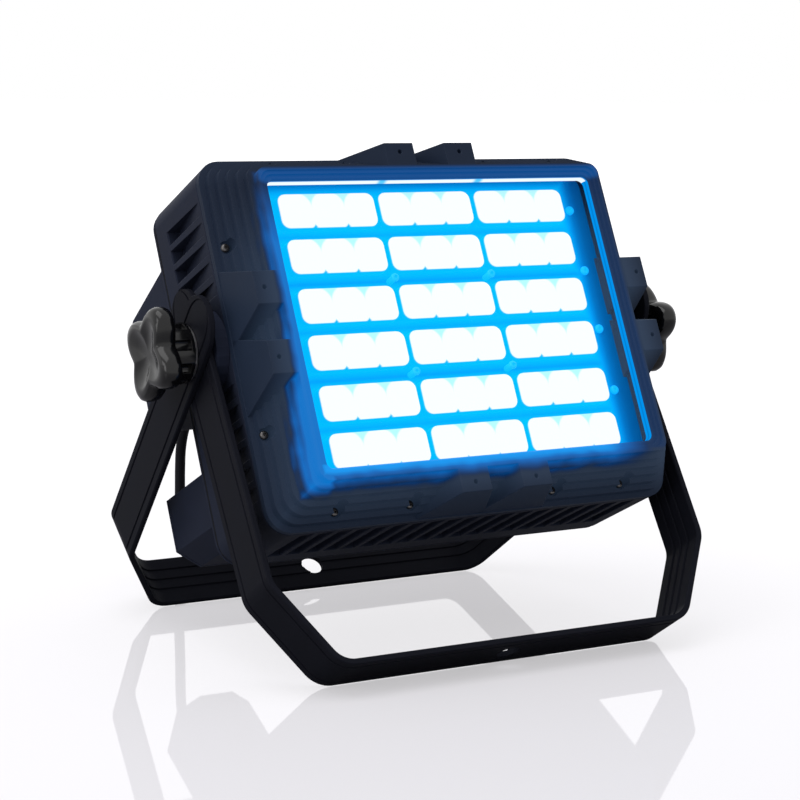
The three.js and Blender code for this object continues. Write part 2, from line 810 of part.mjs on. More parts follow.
function knob() {
  const ring = (shrink, x) => knobOutline(shrink).map((point) => new THREE.Vector3(x, point.x, point.y));
  const star = loft([
    ring(knobBevel, knobStarStart),
    ring(0, knobStarStart + knobBevel),
    ring(0, knobEnd - knobBevel),
    ring(knobBevel, knobEnd),
  ]);
  const bossEnd = knobStarStart + overrun;
  const boss = rodX(knobBossDiameter, knobStart, bossEnd, 32);
  const flutes = [];
  for (let index = 0; index < knobFlutes; index++) {
    const angle = (index + 1 / 2) / knobFlutes * 2 * Math.PI;
    const flute = rodX(knobFluteDiameter, knobStart - overrun, bossEnd + overrun, 8);
    flutes.push(flute.translate(0, knobBossDiameter / 2, 0).rotateX(angle));
  }
  const dish = turnedX([
    [0, knobEnd - knobDishDepth], [knobDishRadius, knobEnd], [knobDishRadius, knobEnd + overrun], [0, knobEnd + overrun],
  ], 20);
  const bore = rodX(studDiameter + boltClearance, knobStart - overrun, knobStarStart + seatGap, 12);
  return cut(join(star, cut(boss, flutes)), [dish, bore]);
}

// Mains cord. It falls from the sleeve: offsets across and back from its end, and shares of its height.
const fallOffsets = [
  [0, 21.6], [0, 32.8], [0, 39.6], [0, 41.6], [0, 42], [0.2, 43.3], [2.1, 48.5], [7.1, 57.3], [15.7, 67.8],
];
const fallHeightShares = [0.91, 0.819, 0.711, 0.596, 0.48, 0.364, 0.257, 0.166, 0.0993];
// Then it runs over the floor to the winding: offsets from the winding's start
const runOffsets = [
  [-151, -38.8, 4.1], [-136.5, -30.3, 0.9], [-120.7, -24, 0], [-90.7, -14.8, 0], [-60.7, -7.5, 0],
  [-30.7, -2.5, 0],
];

// The winding spirals in on the floor, climbs where it reverses, and spirals out on top
function coilTurnPoints() {
  const turns = coilTurnsIn + coilTurnsClimbing + coilTurnsOut;
  const points = [];
  for (let step = 0; step <= turns * coilStepsPerTurn; step++) {
    const turn = step / coilStepsPerTurn;
    const inwards = Math.min(turn, coilTurnsIn);
    const outwards = Math.max(turn - coilTurnsIn - coilTurnsClimbing, 0);
    const climbShare = THREE.MathUtils.clamp((turn - coilTurnsIn) / coilTurnsClimbing, 0, 1);
    const radius = coilOuterRadius - coilPitch * (inwards - outwards);
    const angle = coilEntryAngle + turn * 2 * Math.PI;
    points.push(new THREE.Vector3(
      coilCentre[0] + radius * Math.cos(angle),
      coilCentre[1] + radius * Math.sin(angle),
      cordDiameter / 2 + seatGap + coilLayerRise * climbShare,
    ));
  }
  return points;
}

// A straight lead-in, the turns, and a tail that rises to the plug's middle and ends level
function coilRun() {
  const turns = coilTurnPoints();
  const last = turns[turns.length - 1];
  const tangentAt = (point) => new THREE.Vector3(
    coilCentre[1] - point.y, point.x - coilCentre[0], 0,
  ).normalize();
  const wayOut = tangentAt(last);
  const rise = plugCollar / 2 + seatGap - last.z;
  const tail = [];
  for (let step = 1; step <= tailSteps; step++) {
    const point = last.clone().addScaledVector(wayOut, tailLength * step / tailSteps);
    point.z += rise * Math.min(step / (tailSteps - 1), 1);
    tail.push(point);
  }
  return [turns[0].clone().addScaledVector(tangentAt(turns[0]), -cordDiameter), ...turns, ...tail];
}

// The least clear distance between stretches of the winding that are half a turn or more apart
function leastGap(points) {
  let least = Infinity;
  for (let first = 0; first < points.length; first++) {
    for (let other = first + coilStepsPerTurn / 2; other < points.length; other++) {
      least = Math.min(least, points[first].distanceTo(points[other]) - cordDiameter);
    }
  }
  return least;
}

// The wound tube: flat rings along its points, square to the run at each point
function woundTube(points) {
  const rings = points.map((point, index) => {
    const before = points[Math.max(index - 1, 0)];
    const after = points[Math.min(index + 1, points.length - 1)];
    const along = after.clone().sub(before).normalize();
    const across = new THREE.Vector3(-along.y, along.x, 0).normalize();
    const up = new THREE.Vector3().crossVectors(along, across);
    const ring = [];
    for (let side = 0; side < coilSides; side++) {
      const angle = side / coilSides * 2 * Math.PI;
      ring.push(point.clone()
        .addScaledVector(across, cordDiameter / 2 * Math.cos(angle))
        .addScaledVector(up, cordDiameter / 2 * Math.sin(angle)));
    }
    return ring;
  });
  return loft(rings);
}

function leadTube(points) {
  const curve = new THREE.CatmullRomCurve3(points);
  const section = new THREE.Shape();
  section.absarc(0, 0, cordDiameter / 2, 0, 2 * Math.PI);
  return new THREE.ExtrudeGeometry(section, {
    steps: Math.round(curve.getLength() / cordStep),
    curveSegments: cordSides,
    extrudePath: curve,
  });
}

function plug() {
  const neckEnd = plugNeckLength;
  const end = plugNeckLength + plugLength;
  return turnedY([
    [0, 0], [plugNeckDiameter / 2, 0], [plugNeckDiameter / 2, neckEnd], [plugCollar / 2, neckEnd],
    [plugCollar / 2, neckEnd + plugCollarLength], [plugDiameter / 2, neckEnd + plugCollarLength],
    [plugDiameter / 2, end], [0, end],
  ], 16);
}

// Assembly
const washLight = new THREE.Group();
const pivot = new THREE.Group();
pivot.position.set(0, pivotY, pivotHeight);
washLight.add(pivot);

const frontArm = new THREE.Group();
frontArm.rotation.x = Math.PI / 2 - frontSpread;
frontArm.add(named('front_yoke', yoke(frontYokeHalf, frontYokeReach, frontYokeCornerRise), finishes.yokePaint));
const rearArm = new THREE.Group();
rearArm.rotation.x = Math.PI / 2 + rearSpread;
rearArm.add(named('rear_yoke', yoke(rearYokeHalf, rearYokeReach, rearYokeCornerRise), finishes.yokePaint));
const head = new THREE.Group();
head.rotation.x = -headTilt;
pivot.add(frontArm, rearArm, head);

for (const [side, turn] of [['right', 0], ['left', Math.PI]]) {
  for (const [name, [make, material]] of Object.entries(pivotPieces)) {
    const piece = named(`${name}_${side}`, make(), material);
    piece.rotation.z = turn;
    head.add(piece);
  }
  const ring = named(`knob_washer_${side}`, washer(), finishes.steel);
  ring.rotation.z = turn;
  const star = named(`knob_${side}`, knob(), finishes.knobPlastic);
  star.rotation.z = turn;
  pivot.add(ring, star);
}

// Head pieces, measured from the middle of the front rim: Y is the depth behind it
const body = new THREE.Group();
body.position.set(0, -pivotBehindRim, -pivotAboveAxis);
head.add(body);
body.add(
  named('front_bezel', bezel(), finishes.mouldedBlack),
  named('window_gasket', gasket(), finishes.rubber),
  named('window_glass', prism(roundedOutline(halfGlass, windowCorner), glassFront, glassFront + glassThickness), finishes.glass),
  named('lens_plate', lensPlate(), finishes.blueGlow),
  named('heatsink_casting', casting(), finishes.castPaint),
  named('rear_gasket', rearGasket(), finishes.rubber),
  named('rear_casing', rearCasing(), finishes.castPaint),
  named('led_driver', driver(), finishes.driverCase),
  named('control_board', logicBoard(), finishes.boardGreen),
  named('control_panel', controlPanel(), finishes.mouldedBlack),
);
boardNames.forEach((board, index) => {
  const z = (index - (boardCount - 1) / 2) * boardPitch;
  body.add(named(`led_board_${board}`, ledBoard(board, z), finishes.boardGreen));
});
for (const { name, x, z } of blockPlaces) {
  const block = named(name, lensBlock(), finishes.lens);
  block.position.set(x, 0, z);
  body.add(block);
}
for (const [side, sign] of [['left', -1], ['right', 1]]) {
  const shell = named(`junction_box_${side}`, junctionBox(), finishes.castPaint);
  const lid = named(`junction_lid_${side}`, junctionLid(), finishes.mouldedBlack);
  for (const piece of [shell, lid]) {
    piece.position.x = sign * (halfCasing - boxWidth / 2);
    body.add(piece);
  }
}
const backPieces = [
  ['vent_plug', ventPlug(), finishes.mouldedBlack, onBack(ventPlaceShares)],
  ['data_socket_in', dataSocket(), finishes.mouldedBlack, onBack(socketPlaceShares.in)],
  ['data_socket_out', dataSocket(), finishes.mouldedBlack, onBack(socketPlaceShares.out)],
  ['cable_gland', gland(), finishes.mouldedBlack, glandPlace],
  ['cable_sleeve', sleeve(), finishes.rubber, glandPlace],
];
for (const [name, geometry, material, [x, z]] of backPieces) {
  const piece = named(name, geometry, material);
  piece.position.set(x, 0, z);
  body.add(piece);
}

// The cord lies in the floor's frame: it starts square on the sleeve's end
washLight.updateMatrixWorld(true);
const exit = body.localToWorld(new THREE.Vector3(glandPlace[0], sleeveEnd + seatGap, glandPlace[1]));
const exitWay = new THREE.Vector3(0, Math.cos(headTilt), -Math.sin(headTilt));
const coilPoints = coilRun();
const entryWay = coilPoints[1].clone().sub(coilPoints[0]).normalize();
const entry = coilPoints[0].clone().addScaledVector(entryWay, -seatGap);
const lead = leadTube([
  exit,
  exit.clone().addScaledVector(exitWay, cordDiameter),
  ...fallOffsets.map(([across, back], index) => (
    new THREE.Vector3(exit.x + across, exit.y + back, exit.z * fallHeightShares[index]))),
  ...runOffsets.map((offset) => new THREE.Vector3(...offset).add(entry)),
  entry.clone().addScaledVector(entryWay, -cordDiameter),
  entry,
]);
console.log(`least gap in the winding: ${leastGap(coilPoints).toFixed(2)} mm`);

// The plug lies on the floor beside the winding, on the end of its tail
const coilEnd = coilPoints[coilPoints.length - 1];
const plugWay = coilEnd.clone().sub(coilPoints[coilPoints.length - 2]).normalize();
const plugPiece = named('mains_plug', plug(), finishes.rubber);
plugPiece.quaternion.setFromUnitVectors(new THREE.Vector3(0, 1, 0), plugWay);
plugPiece.position.copy(coilEnd).addScaledVector(plugWay, seatGap);
washLight.add(
  named('mains_cord', lead, finishes.cordJacket),
  named('mains_cord_coil', woundTube(coilPoints), finishes.cordJacket),
  plugPiece,
);

export default washLight;
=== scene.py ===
import json
import math

import bmesh
import bpy
from mathutils import Matrix, Quaternion, Vector


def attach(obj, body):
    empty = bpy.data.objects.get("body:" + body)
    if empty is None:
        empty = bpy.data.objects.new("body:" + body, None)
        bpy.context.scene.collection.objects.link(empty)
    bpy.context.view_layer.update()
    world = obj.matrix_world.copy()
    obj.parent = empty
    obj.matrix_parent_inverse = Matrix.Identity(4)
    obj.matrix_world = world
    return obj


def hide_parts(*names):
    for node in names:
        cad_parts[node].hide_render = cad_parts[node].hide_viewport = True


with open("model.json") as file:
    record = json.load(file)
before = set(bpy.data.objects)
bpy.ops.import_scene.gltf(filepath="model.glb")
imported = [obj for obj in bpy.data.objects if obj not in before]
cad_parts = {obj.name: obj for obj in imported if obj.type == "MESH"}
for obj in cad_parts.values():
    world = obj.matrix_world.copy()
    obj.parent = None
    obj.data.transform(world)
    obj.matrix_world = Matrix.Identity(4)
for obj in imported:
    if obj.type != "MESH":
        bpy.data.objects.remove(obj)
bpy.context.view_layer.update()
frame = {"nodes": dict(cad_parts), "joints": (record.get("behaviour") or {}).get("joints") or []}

# Sizes are in millimetres, as on the drawing, and become metres when a piece is placed.
MM = 0.001
SIDE_NAMES = {-1: "left", 1: "right"}
PIVOT = Vector(next(joint["pos_m"] for joint in frame["joints"] if joint["name"] == "head_tilt"))

# Head: x across, y behind the front rim, z up from the beam's axis
TILT = math.radians(26.2)
RIM_TO_PIVOT = 73
PIVOT_ABOVE_AXIS = 6.3
HEAD_HALF = (158, 130)
HEAD_CORNER = 17
WINDOW_HALF = (128.6, 99.2)
WINDOW_CORNER = 5
WALL_FRONT = 4.7
REBATE_HALF = (137.4, 109.2)
REBATE_CORNER = 9
RIM_HALF = (136.2, 108)
RIM_CORNER = 8
RIM_STEPS = ((2.5, 0), (2.7, 1.5), (5.0, 1.5), (5.2, 3.1), (7.6, 3.1))
SLOPE_DEPTH = 41.5
BEZEL_DEPTH = 46
TERRACES = 6
TERRACE_ROUND = 0.7
LIP_DEPTH = 10.7
LUG_OUTER = (154.2, 124.3)
LUG_WIDTH = 22.6
LUG_ACROSS = 23.8
LUG_FLARE = 15.5
LUG_HOLE = 1.5
LUG_HOLE_INSET = 6.6
BORE_RADIUS = 4.5
BORE_FLOOR = 36
CASTING = (46.3, 121.3)
RIB_PITCH = 14.2
FLANGE = 18
PLATE_FRONT = 27.3
LENS_PITCH = 25.02
COLUMN_PITCH = 77.07
ROW_PITCH = 32.7
BOARD_PITCH = 67.8
REAR_PLATE = (123.4, 126.4)
CASING_HALF = 155.3
CASING_BACK = 196.7
SEAT = 197.0
BOX_MIDDLE = 126.8
PANEL_HEIGHT = 40.1
SOCKETS = (74.5, 118)
SOCKET_HEIGHT = 26.6
VENT = (0, 4.8)
GLAND = (-82, 30)
SLEEVE_END = 58.6

# Yokes: reach from the pivot to the bar, half width over the arms, rise of the corner, and lean
STRIP_WIDTH = 42
STRIP_THICKNESS = 4.2
BEND_RADIUS = 20.2
ARM_END = 24
CORNER_INSET = 36
STUD_HOLE = 5.4
CLAMP_HOLE = 8.5
FRONT_YOKE = (232.8, 171.8, 59.6)
FRONT_LEAN = math.radians(-33)
REAR_YOKE = (247.3, 176.3, 63)


def head_frame():
    shift = Matrix.Translation((0, -RIM_TO_PIVOT, -PIVOT_ABOVE_AXIS))
    return Matrix.Translation(PIVOT) @ Matrix.Rotation(-TILT, 4, "X") @ Matrix.Scale(MM, 4) @ shift


def arm_frame(lean):
    """The arm's own frame: x across the lamp, y up the arm, z across the strip."""
    return Matrix.Translation(PIVOT) @ Matrix.Rotation(math.pi / 2 + lean, 4, "X") @ Matrix.Scale(MM, 4)


def rear_lean():
    """The rear yoke leans back until its bar's edge meets the floor."""
    reach = REAR_YOKE[0]
    half = STRIP_WIDTH / 2
    return math.acos(PIVOT.z / MM / math.hypot(reach, half)) + math.atan2(half, reach)


HEAD = head_frame()


# Camera, solved from the lens grid and the yokes in the photograph: angles in degrees, place in metres
CAMERA_PLACE = (-0.787196, -1.335221, 0.388182)
CAMERA_LENS = 99.31
AZIMUTH = math.radians(-30.384)
ELEVATION = math.radians(8.288)
ROLL = math.radians(0.7014)


def linked(name, data):
    """A new object in the scene."""
    item = bpy.data.objects.new(name, data)
    bpy.context.scene.collection.objects.link(item)
    return item


def make_camera():
    data = bpy.data.cameras.new("camera")
    camera = linked("camera", data)
    data.sensor_width = 36
    data.lens = CAMERA_LENS
    data.clip_end = 40
    back = Vector((
        math.sin(AZIMUTH) * math.cos(ELEVATION),
        -math.cos(AZIMUTH) * math.cos(ELEVATION),
        math.sin(ELEVATION),
    ))
    camera.location = CAMERA_PLACE
    camera.rotation_mode = "QUATERNION"
    camera.rotation_quaternion = (-back).to_track_quat("-Z", "Y") @ Quaternion((0, 0, 1), ROLL)
    bpy.context.scene.camera = camera


make_camera()


# Materials. SHEEN is the low gloss that paints and plastics have unless they say otherwise
SHEEN = 0.09
CYAN = (0.0, 0.46, 1.0)


class Finish:
    """A principled material whose patterns are built from a few linked nodes."""

    def __init__(self, name, color, roughness, metallic=0.0):
        self.material = bpy.data.materials.new(name)
        self.material.use_nodes = True
        self.tree = self.material.node_tree
        self.shader = self.tree.nodes["Principled BSDF"]
        self.set("Base Color", color).set("Roughness", roughness).set("Metallic", metallic)
        self.set("Specular IOR Level", 0.5 if metallic else SHEEN)

    def node(self, kind):
        return self.tree.nodes.new("ShaderNode" + kind)

    def feed(self, target, source):
        """Links the target to a socket, or sets it to a number or a colour."""
        if isinstance(source, bpy.types.NodeSocket):
            self.tree.links.new(source, target)
        else:
            target.default_value = (*source, 1) if isinstance(source, tuple) else source

    def set(self, socket, value):
        self.feed(self.shader.inputs[socket], value)
        return self

    def place(self):
        return self.node("TexCoord").outputs["Object"]

    def head_place(self):
        """Object coordinates turned into the head's own millimetres."""
        mapping = self.node("Mapping")
        inverse = HEAD.inverted()
        mapping.inputs["Location"].default_value = inverse.to_translation()
        mapping.inputs["Rotation"].default_value = inverse.to_euler()
        mapping.inputs["Scale"].default_value = inverse.to_scale()
        self.feed(mapping.inputs["Vector"], self.place())
        parts = self.node("SeparateXYZ")
        self.feed(parts.inputs["Vector"], mapping.outputs["Vector"])
        return parts.outputs["X"], parts.outputs["Y"], parts.outputs["Z"]

    def math(self, operation, first, second=0.0, clamp=False):
        node = self.node("Math")
        node.operation = operation
        node.use_clamp = clamp
        self.feed(node.inputs[0], first)
        self.feed(node.inputs[1], second)
        return node.outputs["Value"]

    def chain(self, operation, *values):
        """The operation over all the values, two at a time."""
        result = values[0]
        for value in values[1:]:
            result = self.math(operation, result, value)
        return result

    def fade(self, value, low, high):
        """1 below low, 0 above high, smooth between."""
        node = self.node("MapRange")
        node.interpolation_type = "SMOOTHSTEP"
        sockets = {"Value": value, "From Min": low, "From Max": high, "To Min": 1, "To Max": 0}
        for socket, source in sockets.items():
            self.feed(node.inputs[socket], source)
        return node.outputs["Result"]

    def rise(self, value, low, high):
        """0 below low, 1 above high, smooth between."""
        return self.math("SUBTRACT", 1, self.fade(value, low, high))

    def off(self, value, middle):
        return self.math("ABSOLUTE", self.math("SUBTRACT", value, middle))

    def past(self, value, limit):
        """How far the value lies outside plus or minus limit."""
        return self.math("SUBTRACT", self.math("ABSOLUTE", value), limit)

    def stripe(self, value, middle, full, gone):
        """1 where value is within full of middle, 0 further off than gone."""
        return self.fade(self.off(value, middle), full, gone)

    def beyond(self, first, second, low, high):
        """0 where the distance made of both parts is below low, 1 above high."""
        squares = [self.math("MULTIPLY", part, part) for part in (first, second)]
        return self.rise(self.math("SQRT", self.math("ADD", *squares)), low, high)

    def ramp(self, value, stops):
        node = self.node("ValToRGB")
        elements = node.color_ramp.elements
        for element, stop in ((elements[0], stops[0]), (elements[1], stops[-1])):
            element.position = stop[0]
            element.color = (*stop[1], 1)
        for position, color in stops[1:-1]:
            elements.new(position).color = (*color, 1)
        self.feed(node.inputs["Fac"], value)
        return node.outputs["Color"]

    def mix(self, share, first, second):
        node = self.node("Mix")
        node.data_type = "RGBA"
        self.feed(node.inputs["Factor"], share)
        self.feed(node.inputs[6], first)
        self.feed(node.inputs[7], second)
        return node.outputs[2]

    def noise(self, scale, detail=2.0):
        node = self.node("TexNoise")
        for socket, source in {"Scale": scale, "Detail": detail, "Vector": self.place()}.items():
            self.feed(node.inputs[socket], source)
        return node.outputs["Fac"]

    def grain(self, scale, height):
        """A fine surface texture of that height, in metres."""
        bump = self.node("Bump")
        for socket, source in {"Strength": 1, "Distance": height, "Height": self.noise(scale)}.items():
            self.feed(bump.inputs[socket], source)
        return self.set("Normal", bump.outputs["Normal"])

    def cloud(self, scale, dark, light, rough_low, rough_high):
        """Slow changes of colour and gloss over the surface."""
        patches = self.noise(scale, 4.0)
        span = self.math("MULTIPLY_ADD", patches, rough_high - rough_low)
        span.node.inputs[2].default_value = rough_low
        return self.set("Base Color", self.mix(patches, dark, light)).set("Roughness", span)

    def glow(self, color, strength=1.0):
        return self.set("Emission Color", color).set("Emission Strength", strength)


def window_distance(finish, across, up):
    """How far a place on the head lies outside the window's edge, in millimetres."""
    return finish.math("MAXIMUM", finish.past(across, WINDOW_HALF[0]), finish.past(up, WINDOW_HALF[1]))


def bezel_finish():
    """Textured black moulding with painted light: a blue glow, set as emission, where the lit window's light
    spills onto it.

    The painted spill is widest at the lower left, wavy along the bottom, faint along the top and right, and
    also on the window's own wall. Further out a pale painted glow fades down the slope.
    """
    finish = Finish("textured_black", (0.01, 0.015, 0.028), 0.5)
    finish.set("Specular IOR Level", 0.06)
    finish.cloud(26, (0.011, 0.0165, 0.03), (0.016, 0.0235, 0.042), 0.42, 0.58).grain(2600, 0.00004)
    across, depth, up = finish.head_place()
    distance = window_distance(finish, across, up)
    # Painted light: the blue glow that the lit window throws onto the moulding, as emission, with a wavy
    # reach
    ripple = finish.math("MULTIPLY", finish.noise(60, 1.0), 5)
    reach = finish.math("ADD", distance, finish.math("SUBTRACT", ripple, 2.5))
    widening = finish.math("MULTIPLY", finish.fade(up, -100, 10), -5)
    beside = finish.fade(finish.math("ADD", reach, widening), 4.5, 12.5)
    under = finish.fade(reach, 1, 17)
    left = finish.chain("MULTIPLY", finish.fade(across, -128, -120), finish.fade(up, 50, 116), beside, 0.8)
    low = finish.chain("MULTIPLY", finish.fade(up, -98, -92), finish.fade(across, 84, 136), under)
    faint = finish.math("ADD", finish.math("MULTIPLY", finish.rise(up, 95, 100), 0.3), 0.16)
    rim = finish.chain("MULTIPLY", finish.fade(distance, 5, 10), finish.fade(depth, 3, 10), faint)
    wall = finish.chain(
        "MULTIPLY", finish.fade(distance, 0.5, 2), 0.4, finish.math("GREATER_THAN", depth, 5))
    spill = finish.chain("MAXIMUM", left, low, rim, wall)
    color = finish.ramp(spill, [
        (0.0, (0.0, 0.003, 0.012)), (0.2, (0.0, 0.02, 0.085)), (0.45, (0.0, 0.06, 0.24)),
        (0.75, (0.0, 0.13, 0.48)), (1.0, (0.0, 0.3, 0.85)),
    ])
    # Painted light: a pale glow that lightens the slope near the window and lower down, fading outwards and
    # towards the top
    pale = finish.math("MULTIPLY", finish.fade(distance, 4, 34), finish.fade(up, 20, 105))
    painted_haze_glow = finish.mix(pale, (0.001, 0.002, 0.005), (0.02, 0.034, 0.06))
    finish.glow(finish.mix(finish.math("MULTIPLY", spill, 5, True), painted_haze_glow, color))
    return finish.material


def window_wall_finish():
    """The short wall of the window, lit from inside: white along the top, blue down the sides."""
    finish = Finish("lit_window_wall", (0.0, 0.02, 0.04), 0.3)
    finish.set("Specular IOR Level", 0.02)
    across, depth, up = finish.head_place()
    top = finish.math("GREATER_THAN", up, WINDOW_HALF[1] - 2.5)
    band = finish.stripe(depth, 8.4, 1.6, 2.8)
    dip = finish.stripe(finish.math("ABSOLUTE", across), COLUMN_PITCH / 2, 1, 5)
    white = finish.mix(dip, (0.9, 0.98, 1.0), (0.1, 0.6, 1.0))
    blue = finish.mix(finish.fade(depth, 5.0, 10), (0.0, 0.24, 0.7), (0.0, 0.11, 0.42))
    lower = finish.mix(finish.fade(depth, 4.6, 5.6), (0.0, 0.2, 0.6), (0.0, 0.1, 0.35))
    above = finish.mix(band, lower, white)
    right = finish.math("GREATER_THAN", across, WINDOW_HALF[0] - 3)
    strips = finish.math(
        "ADD", finish.stripe(depth, 9.4, 1.0, 1.5), finish.stripe(depth, 6.1, 1.0, 1.7), True)
    side = finish.mix(finish.math("MULTIPLY", right, strips), blue, (0.0, 0.27, 0.8))
    finish.glow(finish.mix(top, side, above))
    return finish.material


def block_distance(finish, across, up):
    """Distance to the nearest lens block's edge in the lit grid, in millimetres."""
    column = finish.math("PINGPONG", across, COLUMN_PITCH / 2)
    outside = finish.math("GREATER_THAN", finish.past(across, COLUMN_PITCH), COLUMN_PITCH / 2)
    beyond = finish.math("MULTIPLY", finish.past(across, COLUMN_PITCH), outside)
    column = finish.math("MAXIMUM", column, beyond)
    row = finish.off(finish.math("PINGPONG", up, BOARD_PITCH / 2), ROW_PITCH / 2)
    row = finish.math("MAXIMUM", row, finish.past(up, BOARD_PITCH + ROW_PITCH / 2))
    side = finish.math("SUBTRACT", column, LENS_PITCH * 1.5)
    level = finish.math("SUBTRACT", row, LENS_PITCH / 2)
    return finish.math("MAXIMUM", side, level)


def plate_finish():
    """The white inner plate, lit blue round the lens blocks and darker towards its edges."""
    finish = Finish("lit_plate", (0.0, 0.1, 0.25), 0.45)
    finish.set("Specular IOR Level", 0.01)
    across, _, up = finish.head_place()
    share = finish.math("DIVIDE", block_distance(finish, across, up), 26, clamp=True)
    finish.glow(finish.ramp(share, [
        (0.0, (0.0, 0.48, 0.96)), (0.12, (0.0, 0.4, 0.88)), (0.25, (0.0, 0.25, 0.7)),
        (0.4, (0.0, 0.12, 0.42)), (0.6, (0.0, 0.06, 0.24)), (1.0, (0.0, 0.035, 0.14)),
    ]))
    return finish.material


def lens_finish():
    """Lenses that burn out to white, with pale notches between neighbours and cyan flanks."""
    finish = Finish("lit_lens", (0.0, 0.12, 0.2), 0.35)
    across, depth, up = finish.head_place()
    column = finish.math("PINGPONG", across, COLUMN_PITCH / 2)
    cell = finish.math("PINGPONG", column, LENS_PITCH / 2)
    level = finish.math("PINGPONG", up, BOARD_PITCH / 2)
    height = finish.math("SUBTRACT", level, ROW_PITCH / 2)
    flipped = finish.math("FLOORED_MODULO", finish.math("ADD", up, BOARD_PITCH), BOARD_PITCH)
    turned_over = finish.math("GREATER_THAN", flipped, BOARD_PITCH / 2)
    sign = finish.math("SUBTRACT", 1, finish.math("MULTIPLY", turned_over, 2))
    height = finish.math("MULTIPLY", height, sign)
    notch = finish.chain(
        "MULTIPLY", finish.beyond(cell, finish.math("SUBTRACT", height, 0.5), 12.2, 14.0),
        finish.math("GREATER_THAN", height, 0), finish.math("LESS_THAN", column, LENS_PITCH * 1.5 - 5))
    scallop = finish.chain(
        "MULTIPLY", finish.beyond(cell, height, 15.5, 17.0), finish.math("LESS_THAN", height, 0))
    front = finish.mix(notch, (1.0, 1.0, 1.0), (0.5, 0.92, 0.96))
    front = finish.mix(scallop, front, CYAN)
    finish.glow(finish.mix(finish.rise(depth, 20.0, 21.4), front, CYAN))
    return finish.material


def simple_finish(name, color, roughness, metallic=0.0, grain=(1800, 0.00002), spread=0.25,
                  sheen=None, lit=None):
    """One colour with slow changes over the surface and a fine grain, (scale, height in metres)."""
    finish = Finish(name, color, roughness, metallic)
    if sheen is not None:
        finish.set("Specular IOR Level", sheen)
    if lit is not None:
        finish.glow(lit)
    dark = tuple(value * (1 - spread) for value in color)
    light = tuple(value * (1 + spread) for value in color)
    finish.cloud(34, dark, light, roughness - 0.06, roughness + 0.08).grain(*grain)
    return finish.material


def glass_finish():
    finish = Finish("window_glass", (0.05, 0.5, 0.8), 0.02)
    smears = finish.noise(14, 3.0)
    finish.set("Alpha", 0.02).set("IOR", 1.2).set("Roughness", finish.math("MULTIPLY", smears, 0.06))
    return finish.material


METAL_GRAIN = (1400, 0.00001)
BEZEL = bezel_finish()
WALL = window_wall_finish()
PLATE = plate_finish()
LENS = lens_finish()
GLASS = glass_finish()
MOULDING = simple_finish("black_moulding", (0.011, 0.0125, 0.018), 0.5, grain=(2600, 0.00004))
CAST = simple_finish("cast_paint", (0.017, 0.021, 0.037), 0.5, grain=(2200, 0.00005), sheen=0.04)
STRIP = simple_finish("yoke_paint", (0.009, 0.0096, 0.014), 0.42, grain=(2600, 0.00003), sheen=0.02)
KNOB = simple_finish(
    "knob_plastic", (0.0025, 0.0025, 0.003), 0.14, grain=(1200, 0.00001), spread=0.15, sheen=0.4)
RUBBER = simple_finish("soft_rubber", (0.008, 0.008, 0.009), 0.7, grain=(1500, 0.00005))
JACKET = simple_finish("cord_jacket", (0.009, 0.009, 0.012), 0.42, grain=(900, 0.00003))
STEEL = simple_finish("zinc_steel", (0.5, 0.5, 0.52), 0.3, 1.0, METAL_GRAIN, 0.1)
SCREW = simple_finish("screw_steel", (0.1, 0.095, 0.095), 0.26, 0.9, METAL_GRAIN, 0.1)
LIT_SCREW = simple_finish("lit_screw", (0.02, 0.3, 0.5), 0.3, 0.0, METAL_GRAIN, 0.1, lit=(0.0, 0.36, 0.85))
LIT_RUBBER = simple_finish(
    "lit_rubber", (0.004, 0.01, 0.02), 0.7, grain=(1500, 0.00005), lit=(0.0, 0.06, 0.24))
BOARD = simple_finish("circuit_board", (0.02, 0.12, 0.05), 0.5)
DRIVER = simple_finish("driver_case", (0.6, 0.6, 0.62), 0.4, 0.9)
DISPLAY = simple_finish("display_window", (0.01, 0.014, 0.02), 0.08, grain=(400, 0.000002))


# Mesh helpers
def object_from(name, bm, material, frame_matrix, body, smooth=35, bevel=0.0, segments=2):
    """A finished piece from bm, in its body and slot; smooth is in degrees, bevel in millimetres."""
    bmesh.ops.recalc_face_normals(bm, faces=bm.faces)
    mesh = bpy.data.meshes.new(name)
    bm.to_mesh(mesh)
    bm.free()
    mesh.transform(frame_matrix)
    mesh.shade_smooth()
    mesh.set_sharp_from_angle(angle=math.radians(smooth))
    piece = linked(name, mesh)
    if bevel:
        edge = piece.modifiers.new("edges", "BEVEL")
        edge.width = bevel * MM
        edge.segments = segments
        edge.limit_method = "ANGLE"
        edge.angle_limit = math.radians(smooth)
        edge.use_clamp_overlap = True
        shade = piece.modifiers.new("shading", "WEIGHTED_NORMAL")
        shade.keep_sharp = True
    mesh.materials.append(material)
    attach(piece, body)
    return piece


def carved(bm, cutters, operation="DIFFERENCE"):
    """The solid in bm cut by the solid in cutters, as a new bmesh."""
    solids = []
    for source in (bm, cutters):
        bmesh.ops.recalc_face_normals(source, faces=source.faces)
        mesh = bpy.data.meshes.new("blank")
        source.to_mesh(mesh)
        source.free()
        solids.append(linked("blank", mesh))
    body, tool = solids
    step = body.modifiers.new("cut", "BOOLEAN")
    step.operation = operation
    step.solver = "EXACT"
    step.object = tool
    bpy.context.view_layer.update()
    graph = bpy.context.evaluated_depsgraph_get()
    result = bmesh.new()
    result.from_mesh(body.evaluated_get(graph).to_mesh())
    for solid in solids:
        mesh = solid.data
        bpy.data.objects.remove(solid)
        bpy.data.meshes.remove(mesh)
    bmesh.ops.remove_doubles(result, verts=result.verts, dist=0.001)
    return result


def add_piece(bm, part):
    """Moves the whole of part into bm."""
    mesh = bpy.data.meshes.new("part")
    part.to_mesh(mesh)
    part.free()
    bm.from_mesh(mesh)
    bpy.data.meshes.remove(mesh)


